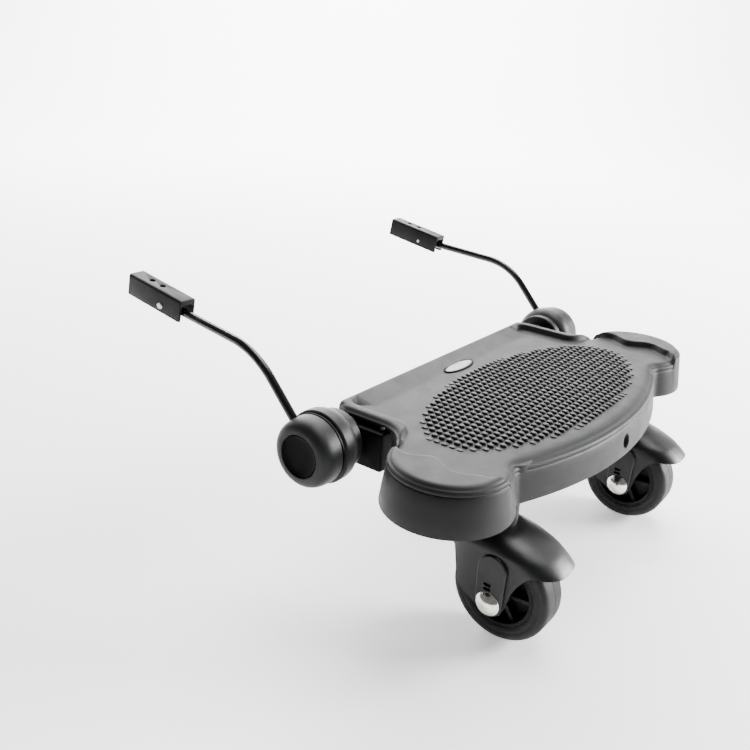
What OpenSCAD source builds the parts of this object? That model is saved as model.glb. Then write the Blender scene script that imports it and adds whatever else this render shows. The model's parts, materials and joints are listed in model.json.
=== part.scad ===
/* [Platform] */
// Width across the two rear lobes
deck_w = 400; // [380:1:430]
// Length from the front edge to the rearmost point
deck_len = 174; // [168:1:184]
// Height of the raised rim above the floor
deck_top = 143; // [138:1:155]
// Height of the skirt from its lower edge to the raised rim
skirt_h = 34; // [30:0.5:36]
// Width of the narrow front part
front_w = 291; // [280:1:305]
// Radius of each rear lobe
lobe_r = 45; // [42:0.5:48]
// Distance from the front edge back to the lobe centres
lobe_back = 113.5; // [110:0.5:118]
// Radius of the long rear curve
rear_r = 320; // [300:5:380]
// Radius of the front corners
corner_r = 15; // [10:0.5:18]
// Radius of the inward curve between front part and lobe
waist_r = 22.5; // [18:0.5:26]
// Radius of the inward curve between lobe and rear edge
notch_r = 9; // [5:0.5:14]
// How much narrower each side is at the top of the skirt
draft = 3.6; // [2:0.2:5]
// Rounding where the skirt turns into the top
edge_r = 4.6; // [3:0.2:6]
// Thickness of the moulded walls
wall = 3; // [2:0.25:4]
// Depth of the standing field below the raised rim
field_drop = 5; // [3:0.25:6]
// Width of the raised rim along the front edge
front_rim = 11; // [9:0.5:14]
// Width of the raised rim beside the narrow part
side_rim = 15; // [12:0.5:18]
// Distance from the centre line to the wavy rim of a lobe
lobe_step_x = 164; // [158:1:168]
// Wave of that rim, to each side
lobe_wave = 4; // [2:0.5:5]
// Length of the grip oval
grip_len = 268; // [240:2:280]
// Depth of the grip oval from front to back
grip_depth = 116; // [90:2:122]
// Distance from the front edge back to the middle of the grip oval
grip_back = 95; // [90:1:100]
// Height of the grip oval above the field
grip_h = 0.6; // [0.3:0.1:1]
// Diameter of the strap hole in the rear skirt
strap_hole_d = 11; // [8:0.5:13]
// Height of the strap hole above the lower edge of the skirt
strap_hole_up = 10.5; // [9:0.5:13]

/* [Badge] */
// Length of the blank oval plate
badge_len = 41; // [30:1:46]
// Depth of the plate from front to back
badge_depth = 15; // [10:0.5:17]
// Thickness of the plate
badge_t = 0.9; // [0.6:0.1:1.6]
// Distance from the front edge back to the middle of the plate
badge_back = 22.5; // [21:0.5:24]

/* [Hubs] */
// Distance from the front edge back to the hub axis
hub_back = 18.7; // [18:0.1:19]
// Distance from the raised rim down to the hub axis
hub_drop = 18.5; // [17:0.5:20]
// Gap between the narrow front part and the inner end of a hub
hub_gap = 6.8; // [5.5:0.1:8.5]
// Radius of a hub at its inner end
hub_in_r = 22.4; // [21:0.1:24]
// Largest radius of a hub
hub_r = 27; // [26:0.25:29]
// Length of the fixed half of a hub
base_len = 23.7; // [22:0.1:25]
// Length of the turning half of a hub
cap_len = 18.8; // [18:0.1:20]
// Radius of the turning half where it meets the fixed half
cap_r = 25.1; // [24:0.1:26]
// Radius of the button in the end of a hub
button_r = 15.2; // [14:0.1:16]
// Travel of the button
button_travel = 4; // [3:0.25:4.25]
// Diameter of the pivot bolt
pivot_d = 10; // [8:0.5:11]
// Number of lock teeth
lock_teeth = 24; // [12:1:36]
// Outer diameter of the cross tube
tube_d = 18; // [15:0.5:19]
// Length of a bracket along the cross tube
bracket_len = 43; // [36:1:48]
// How far a bracket reaches in front of the hub axis
bracket_fore = 11; // [10.7:0.1:11.2]
// How far a bracket reaches behind the hub axis
bracket_aft = 34; // [28:1:36]

/* [Arms] */
// Diameter of the rods
rod_d = 6.5; // [6:0.25:7]
// Distance from the inner end of a hub to the lower leg of its rod
rod_out = 29.2; // [28.7:0.1:29.7]
// Angle of the lower leg above level
rod_angle = 47.4; // [35:0.5:60]
// Length from the hub axis to the bend corner
rod_leg = 80; // [76:1:100]
// Inside-to-centre radius of the bend
bend_r = 60; // [40:1:65]
// Distance in front of the bend corner of the connector pin
reach = 103; // [95:1:130]
// Rise from the bend corner to the connector pin
rise = 8.5; // [0:0.5:15]
// How far the connector pin sits inward of the lower leg
toe_in = 9; // [0:0.5:12]

/* [Connectors] */
// Width of a connector
link_w = 15; // [14:0.5:18]
// Height of a connector
link_h = 17; // [16.5:0.25:19]
// Length from the pin to the mouth of the connector
link_mouth = 22; // [18:1:26]
// Length from the pin to the plug end of the connector
link_plug = 38; // [34:1:46]
// Upward tilt of a connector
link_tilt = 9.5; // [5:0.5:12]
// Width of the channel that takes the rod
channel_w = 8.5; // [8:0.1:9]
// Height of the channel, open at the bottom
channel_h = 13; // [12.5:0.1:13.5]
// Diameter of the cross pin
link_pin_d = 3; // [2.5:0.1:3.2]
// Diameter of the two latch holes in the top
latch_d = 5; // [4:0.25:5.5]

/* [Casters] */
// Distance from the side of the platform in to each swivel axis
caster_in = 87.4; // [84:0.2:92]
// Distance from the front edge back to the swivel axis
caster_back = 134; // [131:0.5:137]
// Distance of the wheel axle behind the swivel axis
trail = 10; // [6:0.5:13]
// Diameter of the wheels
wheel_d = 74; // [68:0.5:75]
// Width of the tyre
tyre_w = 26.6; // [22:0.2:28]
// Radius of the rounded tyre shoulders
tyre_round = 5.2; // [3:0.2:6]
// Radius of the wheel rim under the tyre
rim_r = 26; // [24:0.25:28]
// Number of spokes
spokes = 6; // [4:1:8]
// Diameter of the wheel bolt
axle_d = 8; // [6:0.5:8]
// Half width of the hood at its lower rim
hood_half = 24.7; // [23:0.1:26]
// Half length of the hood at its lower rim
hood_reach = 44; // [42:0.5:47]
// Radius of the hood at its flat crown
crown_r = 25; // [22:0.5:27]
// Height of the crown above the floor
crown_z = 86; // [86:0.5:90]
// Thickness of the hood
hood_t = 3.5; // [2.5:0.25:4]
// Width of the rib down each leg
leg_rib_w = 24; // [20:0.5:26]
// How far the rib stands out of the leg
leg_rib_out = 2.8; // [1.5:0.1:4]
// Radius of the bolt head
bolt_head_r = 9; // [7:0.25:10]
// Diameter of the swivel stem
stem_d = 10; // [8:0.5:11]

/* [Clearances] */
// Gap round a turning shaft
run_gap = 0.05; // [0.02:0.01:0.1]
// Gap between faces that move past each other
face_gap = 0.3; // [0.2:0.05:0.5]

/* [Hidden] */
$fn = 72;

grey = [0.34, 0.35, 0.36];
black = [0.08, 0.08, 0.09];
dark = [0.16, 0.16, 0.17];
steel = [0.72, 0.72, 0.70];
nylon = [0.85, 0.84, 0.80];

// The model is drawn with the floor at zero and the swivel axes at Y zero,
// then moved so that the middle of its length is at Y zero
front_y = caster_back;
rear_y = front_y - deck_len;
hub_y = front_y - hub_back;
hub_z = deck_top - hub_drop;
axle_z = wheel_d / 2;
hood_y = -trail;
caster_x = deck_w / 2 - caster_in;

// Platform levels and plan centres
skirt_z = deck_top - skirt_h;
field_z = deck_top - field_drop;
ceiling_z = field_z - wall;
shoulder_z = deck_top - edge_r * 1.4;
lobe_x = deck_w / 2 - lobe_r;
lobe_y = front_y - lobe_back;
corner_x = front_w / 2 - corner_r;
corner_y = front_y - corner_r;
rear_cy = rear_y + rear_r;
waist_x = front_w / 2 + waist_r;
waist_y = lobe_y + sqrt(pow(lobe_r + waist_r, 2) - pow(waist_x - lobe_x, 2));
waist_a = atan2(waist_y - lobe_y, waist_x - lobe_x);

// Centre of the notch curve, which touches the lobe and the rear curve
notch_c = meet([lobe_x, lobe_y], lobe_r + notch_r, [0, rear_cy], rear_r + notch_r);
notch_from_lobe = atan2(notch_c.y - lobe_y, notch_c.x - lobe_x);
notch_to_rear = atan2(rear_cy - notch_c.y, -notch_c.x);

// Caster seats in the platform
boss_r = stem_d / 2 + 5.5;
seat_r = boss_r + 4.5;
bush_r = stem_d / 2 + 3;
washer_t = 2;
boss_z = crown_z + washer_t + face_gap;
bush_top = ceiling_z - 10;
clip_t = 1.6;
stem_top = bush_top + 5;
shelf_z = crown_z - 8;

// Hub stations, measured outward from the centre line
hub_in = front_w / 2 + hub_gap;
rod_x = hub_in + rod_out;
base_floor = hub_in + 4;
base_end = hub_in + base_len;
ring_t = 0.9;
cap_in = base_end + ring_t + face_gap;
cap_end = hub_in + base_len + ring_t + face_gap + cap_len - 1.2;
lock_in = base_floor + 9;
lock_t = 4;
cup_r = hub_r - 3;
sleeve_r = hub_r - 6.1;
clutch_r = sleeve_r - 0.2;
clutch_t = button_travel - 0.4;
cap_floor = rod_x + rod_d / 2 + 1.8;
head_t = 3.1;
head_in = cap_floor - head_t - 0.2;
button_in = cap_floor + button_travel + 0.4;
prong_r = 2;
prong_at = 12;
rod_start = prong_at + prong_r + 2;
tube_wall = tube_d / 2 - pivot_d / 2;
bracket_out = front_w / 2 + 1.5;
bracket_in = bracket_out - bracket_len;
bolt_in = bracket_in + 18;

// Rod route, in the right-hand plane
rod_r = rod_d / 2;
leg_dir = [0, cos(rod_angle), sin(rod_angle)];
bend_at = [rod_x, hub_y, hub_z] + leg_dir * rod_leg;
link_at = bend_at + [-toe_in, reach, rise];
reach_dir = unit(link_at - bend_at);
turn = acos(leg_dir * reach_dir);
bend_take = bend_r * tan(turn / 2);
bend_side = unit(cross(leg_dir, reach_dir));
bend_in = cross(bend_side, leg_dir);
bend_c = bend_at - leg_dir * bend_take + bend_in * bend_r;
rod_tip = 5;

// Connector levels, measured from the pin
pin_drop = 3.5;
link_low = pin_drop - link_h / 2;
mouth_w = max(channel_w, 2 * (rod_r + face_gap + (link_mouth + 1) * toe_in / reach));

// Extent along Y, which sets the middle of the frame
y_low = hood_y - hood_reach;
y_high = link_at.y + link_plug * cos(link_tilt) - link_low * sin(link_tilt);
y_mid = (y_low + y_high) / 2;

function unit(v) = v / norm(v);
function arc(c, r, a0, a1, n) = [
    for (i = [0 : n]) let(a = a0 + (a1 - a0) * i / n) c + r * [cos(a), sin(a)]
];
// The same without its first point, to carry on from another arc
function arc_on(c, r, a0, a1, n) = arc(c, r, a0 + (a1 - a0) / n, a1, n - 1);
// Lower right crossing of two circles
function meet(p, rp, q, rq) =
    let(d = norm(q - p), along = (d * d + rp * rp - rq * rq) / (2 * d))
    let(off = sqrt(rp * rp - along * along), u = (q - p) / d)
    p + along * u + off * [u.y, -u.x] * (u.x < 0 ? -1 : 1);
function reverse(pts) = [for (i = [len(pts) - 1 : -1 : 0]) pts[i]];
function flip(pts) = [for (p = reverse(pts)) [-p.x, p.y]];
function curve(a, b, c, n) = [
    for (i = [0 : n]) let(t = i / n) a * pow(1 - t, 2) + b * 2 * t * (1 - t) + c * t * t
];

// Half of the plan, taken in by d all round
corner_steps = 6;
waist_steps = 8;
lobe_steps = 24;
notch_steps = 4;
rear_steps = 8;
function half_plan(d) = concat(
    arc([corner_x, corner_y], corner_r - d, 90, 0, corner_steps),
    arc([waist_x, waist_y], waist_r + d, 180, 180 + waist_a, waist_steps),
    arc_on([lobe_x, lobe_y], lobe_r - d, waist_a, notch_from_lobe, lobe_steps),
    arc_on(notch_c, notch_r + d, notch_from_lobe + 180, notch_to_rear, notch_steps),
    arc_on([0, rear_cy], rear_r - d, notch_to_rear - 180, -90, rear_steps)
);
function plan(d) = let(h = half_plan(d)) concat(reverse(h), [for (p = h) if (p.x > 0.01) [-p.x, p.y]]);

// Spine from the middle of the platform to a point beside each lobe centre: the caps of the
// plan are triangles between the outline and this spine
spine_steps = notch_steps + rear_steps;
spine_mid = [0, (front_y + lobe_y) / 2];
spine_end = [lobe_x - lobe_r / 9, lobe_y + lobe_r / 7];
spine_side = [for (j = [0 : spine_steps]) spine_mid + (spine_end - spine_mid) * j / spine_steps];
spine = concat(spine_side, [for (j = [1 : spine_steps]) [-spine_side[j].x, spine_side[j].y]]);
half_spine = concat(
    [for (i = [0 : corner_steps + waist_steps + 1])
        max(0, i - corner_steps - waist_steps - 1 + spine_steps)],
    [for (i = [1 : lobe_steps]) spine_steps],
    [for (i = [1 : spine_steps]) spine_steps - i]
);
plan_spine = concat(reverse(half_spine),
    [for (i = [0 : len(half_spine) - 2]) half_spine[i] == 0 ? 0 : half_spine[i] + spine_steps]);

// Solid through copies of the plan, each [inset, height], from the lowest up
module plan_loft(levels) {
    rings = [for (v = levels) lift(plan(v[0]), v[1])];
    n = len(rings[0]);
    m = len(levels);
    low = m * n;
    high = low + len(spine);
    cap = [
        for (i = [0 : n - 1]) let(k = (i + 1) % n, a = plan_spine[i], b = plan_spine[k])
            each a == b ? [[i, k, low + a]] : [[i, k, low + b], [i, low + b, low + a]]
    ];
    lid = [for (f = cap) [for (p = reverse(f)) p < low ? p + low - n : p + high - low]];
    polyhedron(
        points = concat([for (r = rings) each r], lift(spine, levels[0][1]),
            lift(spine, levels[m - 1][1])),
        faces = concat(ring_sides(n, m), cap, lid)
    );
}

// Half of the outline of the standing field, open over the rear edge
wave_y = lobe_y + lobe_r * 0.6;
wave_period = 38;
function wave(y) = lobe_step_x + lobe_wave * cos(360 * (y - wave_y) / wave_period);
function half_field() = concat(
    arc([front_w / 2 - side_rim - 8, front_y - front_rim - 8], 8, 90, 0, 5),
    curve([front_w / 2 - side_rim, waist_y - 8], [front_w / 2 - side_rim, waist_y - 22],
        [wave(waist_y - 26) - 2, waist_y - 24], 5),
    [for (i = [0 : 14]) let(y = waist_y - 26 - i * 5) [wave(y), y]],
    [[notch_c.x + 14, notch_c.y - 6], [notch_c.x, rear_y - 20]]
);
function oval(a, b, n) = [for (i = [0 : n - 1]) [a * cos(360 * i / n), b * sin(360 * i / n)]];

// Ring of a rounded box: half width w, half length l, sharpness e
function ring(w, l, e, n) = [
    for (i = [0 : n - 1]) let(a = 360 * i / n, c = cos(a), s = sin(a))
        [w * sign(c) * pow(abs(c), 2 / e), l * sign(s) * pow(abs(s), 2 / e)]
];
function lift(pts, z, y = 0) = [for (p = pts) [p.x, p.y + y, z]];

function ring_sides(n, m) = [
    for (k = [0 : m - 2], i = [0 : n - 1])
        let(a = k * n + i, b = k * n + (i + 1) % n)
        [a, a + n, b + n, b]
];

// Solid through convex counter-clockwise rings of equal count, from the lowest up
module loft(rings) {
    n = len(rings[0]);
    m = len(rings);
    bottom = [for (i = [0 : n - 1]) i];
    top = [for (i = [n - 1 : -1 : 0]) (m - 1) * n + i];
    polyhedron(points = [for (r = rings) each r], faces = concat(ring_sides(n, m), [bottom, top]));
}

module place() {
    translate([0, -y_mid, 0]) children();
}

// Hub frame: local Z runs outward along the hub axis
module on_hub(side) {
    place() translate([0, hub_y, hub_z]) mirror([side < 0 ? 1 : 0, 0, 0]) rotate([0, 90, 0])
        children();
}

module on_arm(side) {
    place() mirror([side < 0 ? 1 : 0, 0, 0]) children();
}

// Connector frame: origin on the pin, local Y along the connector
module on_link(side) {
    on_arm(side) translate(link_at) rotate([link_tilt, 0, 0]) children();
}

module on_caster(side) {
    place() translate([side * caster_x, 0, 0]) children();
}

module on_axle(side) {
    on_caster(side) translate([0, -trail, axle_z]) rotate([0, 90, 0]) children();
}

module tube_of(outer, inner, z0, z1) {
    difference() {
        translate([0, 0, z0]) cylinder(r = outer, h = z1 - z0);
        translate([0, 0, z0 - 1]) cylinder(r = inner, h = z1 - z0 + 2);
    }
}

module along_y(x, r) {
    translate([x, front_y, 0]) rotate([90, 0, 0]) cylinder(r = r, h = deck_len * 2);
}

// Platform moulding
module deck_outer() {
    steps = 4;
    plan_loft(concat([[0, skirt_z]], [
        for (i = [0 : steps]) let(a = 90 * i / steps)
            [draft + edge_r * (1 - cos(a)), shoulder_z + (deck_top - shoulder_z) * sin(a)]
    ]));
}

module deck_inner() {
    low = 2;
    slope = draft / (shoulder_z - skirt_z);
    plan_loft([
        [wall - slope * low, skirt_z - low],
        [wall + slope * (ceiling_z - skirt_z), ceiling_z],
    ]);
}

module field_cut() {
    h = half_field();
    translate([0, 0, field_z]) linear_extrude(field_drop + 5)
        polygon(concat(h, flip(h)));
}

module deck_ribs() {
    rib_t = 2.4;
    rib_z = skirt_z + 8;
    rib_h = ceiling_z - rib_z + 1;
    for (x = [-72, -36, 0, 36, 72]) {
        low = x == 0 ? rear_y + 24 : rear_cy - sqrt(pow(rear_r - wall * 1.2, 2) - x * x);
        translate([x - rib_t / 2, low, rib_z]) cube([rib_t, front_y - wall * 1.7 - low, rib_h]);
    }
    for (y = [-8, 26, 60])
        translate([-caster_x, y, rib_z]) cube([2 * caster_x, rib_t, rib_h]);
}

module deck_shell() {
    recess_z = deck_top - 3.2;
    color(grey) place() difference() {
        union() {
            difference() {
                deck_outer();
                difference() {
                    deck_inner();
                    deck_ribs();
                }
                field_cut();
            }
            translate([0, front_y - grip_back, field_z - 0.5])
                linear_extrude(grip_h + 0.5) polygon(oval(grip_len / 2, grip_depth / 2, 72));
            for (s = [-1, 1]) translate([s * caster_x, 0, 0]) {
                translate([0, 0, boss_z]) cylinder(r = boss_r, h = ceiling_z - boss_z + 1);
                translate([0, 0, skirt_z + 3]) cylinder(r = seat_r, h = ceiling_z - skirt_z - 2);
            }
        }
        for (s = [-1, 1]) {
            translate([s * caster_x, 0, boss_z - 1])
                cylinder(r = bush_r, h = bush_top + 0.1 - boss_z + 1);
            translate([s * caster_x, 0, boss_z])
                cylinder(r = stem_d / 2 + 2.5, h = stem_top + 1 - boss_z);
            translate([s > 0 ? corner_x + 8 : -front_w, waist_y - 14, skirt_z - 1])
                cube([front_w - corner_x - 8, front_y - wall * 2.4 - waist_y + 14,
                    recess_z - skirt_z + 1]);
        }
        bracket_block(face_gap);
        translate([-front_w / 2, hub_y, hub_z]) rotate([0, 90, 0])
            cylinder(r = tube_d / 2 + 1, h = front_w);
        screw_places() cylinder(r = 2, h = ceiling_z + 2.5);
        translate([0, rear_y + draft + wall * 2, skirt_z + strap_hole_up]) rotate([90, 0, 0])
            cylinder(r = strap_hole_d / 2, h = draft + wall * 4);
    }
}

module badge_plate() {
    color(dark) place() translate([0, front_y - badge_back, field_z])
        linear_extrude(badge_t) polygon(oval(badge_len / 2, badge_depth / 2, 48));
}

module cross_tube() {
    color(steel) place() translate([-bracket_out - 3, hub_y, hub_z]) rotate([0, 90, 0])
        tube_of(tube_d / 2, pivot_d / 2, 0, 2 * bracket_out + 6);
}

// Two screws up through each bracket into the platform
module screw_places() {
    for (s = [-1, 1], x = [bracket_in + 6, bracket_out - 9])
        translate([s * x, hub_y - bracket_aft + 6, 0]) children();
}

module bracket_screws() {
    head_z = skirt_z - 3;
    color(steel) place() screw_places() {
        translate([0, 0, head_z]) cylinder(r = 3.8, h = 2.5);
        translate([0, 0, head_z + 2]) cylinder(r = 2, h = ceiling_z - head_z);
    }
}

// Body of both brackets, chamfered along the top front edge, grown by a gap at front and rear
module bracket_block(gap) {
    low = skirt_z - 3.5;
    aft = hub_y - bracket_aft - gap;
    fore = hub_y + bracket_fore + gap;
    for (s = [0, 1]) mirror([s, 0, 0]) rotate([90, 0, 90])
        translate([0, 0, bracket_in - gap]) linear_extrude(bracket_len + gap) polygon([
            [aft, low], [fore, low], [fore, ceiling_z - 4], [fore - 4, ceiling_z], [aft, ceiling_z],
        ]);
}

// Black end bracket that carries the cross tube and the fixed half of the hub
module hub_bracket(side) {
    color(black) place() difference() {
        union() {
            intersection() {
                bracket_block(0);
                translate([side > 0 ? 0 : -front_w, 0, 0]) cube([front_w, front_y, deck_top]);
            }
            translate([0, hub_y, hub_z]) mirror([side < 0 ? 1 : 0, 0, 0]) rotate([0, 90, 0])
                translate([0, 0, bracket_out - 3]) cylinder(r = 15.5, h = hub_in - bracket_out + 3);
        }
        translate([-hub_in - 5, hub_y, hub_z]) rotate([0, 90, 0])
            cylinder(r = tube_d / 2, h = 2 * hub_in + 10);
        screw_places() cylinder(r = 2, h = deck_top);
        screw_places() cylinder(r = 4, h = skirt_z - 0.5);
    }
}
module hub_bracket_l() { hub_bracket(-1); }
module hub_bracket_r() { hub_bracket(1); }

// Fixed half of the hub, a cup that opens outward
module hub_base(side) {
    shoulder = arc([hub_r - 12, base_end - 7.5], 12, -52, 0, 8);
    color(grey) on_hub(side) rotate_extrude() polygon(concat(
        [[pivot_d / 2, hub_in], [hub_in_r - 1, hub_in], [hub_in_r, hub_in + 1]],
        shoulder,
        [[hub_r, base_end - 4], [hub_r - 0.6, base_end - 3.6], [hub_r - 0.6, base_end - 0.6],
            [hub_r - 1.2, base_end], [cup_r, base_end], [cup_r, lock_in], [sleeve_r, lock_in],
            [sleeve_r, base_floor], [pivot_d / 2, base_floor]]
    ));
}
module hub_base_l() { hub_base(-1); }
module hub_base_r() { hub_base(1); }

module teeth(r, count, out, width) {
    for (i = [0 : count - 1])
        rotate(360 * i / count) translate([r, -width / 2]) square([out, width]);
}

module lock_ring(side) {
    color(steel) on_hub(side) translate([0, 0, lock_in]) linear_extrude(lock_t) {
        difference() {
            circle(r = cup_r);
            circle(r = clutch_r + 1.3);
        }
        teeth(clutch_r + 0.3, lock_teeth, 1.6, 2);
    }
}
module lock_ring_l() { lock_ring(-1); }
module lock_ring_r() { lock_ring(1); }

module friction_ring(side) {
    color(black) on_hub(side) tube_of(cap_r + 0.3, clutch_r, base_end, base_end + ring_t);
}
module friction_ring_l() { friction_ring(-1); }
module friction_ring_r() { friction_ring(1); }

module pivot_bolt(side) {
    color(steel) on_hub(side) {
        translate([0, 0, bolt_in]) cylinder(r = pivot_d / 2, h = head_in - bolt_in + 0.5);
        translate([0, 0, head_in]) cylinder(r = pivot_d / 2 + 3, h = head_t);
    }
}
module pivot_bolt_l() { pivot_bolt(-1); }
module pivot_bolt_r() { pivot_bolt(1); }

// Turning half of the hub, with the socket for the rod and the seat for the button
module prong_places() {
    for (a = [60, 180, 300]) rotate(rod_angle - 90 + a) translate([-prong_at, 0, 0]) children();
}

module hub_cap(side) {
    crown = arc([cap_r - 12, cap_end - 12.5], 12, 8, 74, 8);
    color(grey) on_hub(side) difference() {
        rotate_extrude() polygon(concat(
            [[pivot_d / 2 + run_gap, cap_in], [cap_r - 0.6, cap_in], [cap_r, cap_in + 0.6]],
            crown,
            [[button_r + 0.9, cap_end], [button_r + 0.3, cap_end - 0.8], [button_r + 0.3, cap_floor],
                [pivot_d / 2 + 3.5, cap_floor], [pivot_d / 2 + 3.5, head_in - face_gap],
                [pivot_d / 2 + run_gap, head_in - face_gap]]
        ));
        prong_places() translate([0, 0, cap_in - 1]) cylinder(r = prong_r + 0.2, h = cap_len);
        translate([0, 0, rod_x]) rotate([0, 0, rod_angle - 90]) rotate([0, -90, 0])
            translate([0, 0, rod_start]) cylinder(r = rod_r, h = cap_r);
    }
}
module hub_cap_l() { hub_cap(-1); }
module hub_cap_r() { hub_cap(1); }

// Bent steel rod from the hub to the connector pin
module bar_from(p, dir, length) {
    translate(p) rotate([0, acos(dir.z), atan2(dir.y, dir.x)]) cylinder(r = rod_r, h = length);
}

module arm_rod(side) {
    start = [rod_x, hub_y, hub_z] + leg_dir * rod_start;
    out = -bend_in;
    blend = 1;
    color(black) on_arm(side) difference() {
        union() {
            bar_from(start, leg_dir, rod_leg - rod_start - bend_take + blend);
            multmatrix([
                [out.x, leg_dir.x, -bend_side.x, bend_c.x],
                [out.y, leg_dir.y, -bend_side.y, bend_c.y],
                [out.z, leg_dir.z, -bend_side.z, bend_c.z],
                [0, 0, 0, 1],
            ]) rotate_extrude(angle = turn) translate([bend_r, 0]) circle(r = rod_r - 0.03);
            bar_from(bend_at + reach_dir * (bend_take - blend), reach_dir,
                norm(link_at - bend_at) - bend_take + blend + rod_tip);
        }
        translate(link_at) rotate([0, 90, 0])
            cylinder(r = link_pin_d / 2 + run_gap, h = link_w, center = true);
    }
}
module arm_rod_l() { arm_rod(-1); }
module arm_rod_r() { arm_rod(1); }

// Push button with three prongs that carry the clutch disc
module hub_button(side) {
    cap_t = 3.6;
    color(dark) on_hub(side) {
        rotate_extrude() polygon([
            [0, button_in], [button_r, button_in], [button_r, button_in + cap_t - 0.8],
            [button_r - 0.8, button_in + cap_t], [button_r - 3, button_in + cap_t],
            [button_r - 4, button_in + cap_t - 0.5], [0, button_in + cap_t - 0.5],
        ]);
        prong_places() translate([0, 0, lock_in + 0.2])
            cylinder(r = prong_r, h = button_in - lock_in + 0.3);
    }
}
module hub_button_l() { hub_button(-1); }
module hub_button_r() { hub_button(1); }

module clutch_disc(side) {
    color(steel) on_hub(side) difference() {
        translate([0, 0, lock_in + 0.2]) linear_extrude(clutch_t) {
            circle(r = clutch_r - 1.3);
            intersection() {
                teeth(clutch_r - 2, lock_teeth, 3, 2);
                circle(r = clutch_r);
            }
        }
        cylinder(r = pivot_d / 2 + face_gap, h = 2 * hub_in);
        prong_places() cylinder(r = prong_r, h = 2 * hub_in);
    }
}
module clutch_disc_l() { clutch_disc(-1); }
module clutch_disc_r() { clutch_disc(1); }

module button_spring(side) {
    color(steel) on_hub(side)
        tube_of(pivot_d / 2 + 2, pivot_d / 2, head_in + head_t, button_in);
}
module button_spring_l() { button_spring(-1); }
module button_spring_r() { button_spring(1); }

// Connector: a plug with a channel that is open at the mouth and at the bottom
module connector(side) {
    color(black) on_link(side) difference() {
        intersection() {
            translate([-link_w / 2, -link_mouth, link_low])
                cube([link_w, link_mouth + link_plug, link_h]);
            translate([0, link_plug, link_low]) rotate([90, 0, 0]) linear_extrude(link_mouth + link_plug)
                link_section();
        }
        rotate([90, 0, 0]) loft([
            lift(channel_ring(channel_w), -rod_tip - 4),
            lift(channel_ring(channel_w), 0),
            lift(channel_ring(mouth_w), link_mouth + 1),
        ]);
        rotate([0, 90, 0]) cylinder(r = link_pin_d / 2, h = link_w * 2, center = true);
        for (y = [link_plug - 31, link_plug - 19])
            translate([0, y, link_low + link_h - 4.5]) cylinder(r = latch_d / 2, h = 5);
    }
}

module link_section() {
    r = 2;
    translate([-link_w / 2, 0]) square([link_w, link_h - r]);
    translate([-link_w / 2 + r, 0]) square([link_w - 2 * r, link_h]);
    for (s = [-1, 1]) translate([s * (link_w / 2 - r), link_h - r]) circle(r = r);
}

// Section of the channel, which widens towards the mouth because the rod comes in at an angle
function channel_ring(w) = let(r = 2.5, top = link_low + channel_h) concat(
    [[-w / 2, link_low - 1], [w / 2, link_low - 1]],
    arc([w / 2 - r, top - r], r, 0, 90, 4),
    arc([r - w / 2, top - r], r, 90, 180, 4)
);
module connector_l() { connector(-1); }
module connector_r() { connector(1); }

module connector_pin(side) {
    color(steel) on_link(side) {
        translate([-link_w / 2, 0, 0]) rotate([0, 90, 0]) cylinder(r = link_pin_d / 2, h = link_w + 0.5);
        translate([link_w / 2, 0, 0]) rotate([0, 90, 0])
            cylinder(r1 = link_pin_d / 2 + 1.2, r2 = link_pin_d / 2 + 0.7, h = 1);
    }
}
module connector_pin_l() { connector_pin(-1); }
module connector_pin_r() { connector_pin(1); }

// Flanged bush that lines the swivel seat in the platform
module stem_bush(side) {
    color(nylon) on_caster(side)
        tube_of(bush_r, stem_d / 2 + run_gap, boss_z, bush_top);
}
module stem_bush_l() { stem_bush(-1); }
module stem_bush_r() { stem_bush(1); }

module stem(side) {
    color(steel) on_caster(side) difference() {
        translate([0, 0, shelf_z]) cylinder(r = stem_d / 2, h = stem_top - shelf_z);
        tube_of(stem_d, stem_d / 2 - 1, bush_top + face_gap, bush_top + face_gap + clip_t);
    }
}
module stem_l() { stem(-1); }
module stem_r() { stem(1); }

module thrust_washer(side) {
    color(nylon) on_caster(side)
        tube_of(boss_r - 0.5, stem_d / 2 + 0.1, crown_z, crown_z + washer_t);
}
module thrust_washer_l() { thrust_washer(-1); }
module thrust_washer_r() { thrust_washer(1); }

module stem_clip(side) {
    color(steel) on_caster(side)
        tube_of(stem_d / 2 + 2, stem_d / 2 - 1, bush_top + face_gap, bush_top + face_gap + clip_t);
}
module stem_clip_l() { stem_clip(-1); }
module stem_clip_r() { stem_clip(1); }

// Fork: a bell-like hood with a leg on each side of the wheel
hood_rim = 66;
hood_rise = crown_z - hood_rim;
leg_low = axle_z - 16;
bar_in = hood_half - hood_t - 0.5;
bar_out = hood_half + leg_rib_out;

// Ring of the hood at a share t of the way up from the rim
function hood_ring(t) =
    let(w = hood_half + (t < 0.5 ? 1.6 * t : 1.6 * t - 6.6 * pow(t - 0.5, 2)))
    let(l = hood_reach + (crown_r - hood_reach) * pow(t, 1.5))
    lift(ring(w, l, 3 - t, 40), hood_rim + hood_rise * t, hood_y * (1 - t));

module hood_outer() {
    foot = lift(ring(hood_half, hood_reach, 3, 40), leg_low, hood_y);
    flank = [for (i = [0 : 5]) hood_ring(i * 0.14)];
    top = [for (i = [0 : 2]) let(a = 45 * i, d = 2.5 * (1 - cos(a)))
        lift(ring(crown_r - d, crown_r - d, 2, 40), crown_z - 2.5 + 2.5 * sin(a))];
    loft(concat([foot], flank, top));
}

module hood_inner() {
    w = hood_half - hood_t;
    l = hood_reach - hood_t;
    loft([
        lift(ring(w, l, 3, 40), leg_low - 1, hood_y),
        lift(ring(w, l - 1, 3, 40), hood_rim + 2, hood_y),
        lift(ring(w - 3, l - 12, 2.6, 40), shelf_z, hood_y + 3),
    ]);
}

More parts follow.
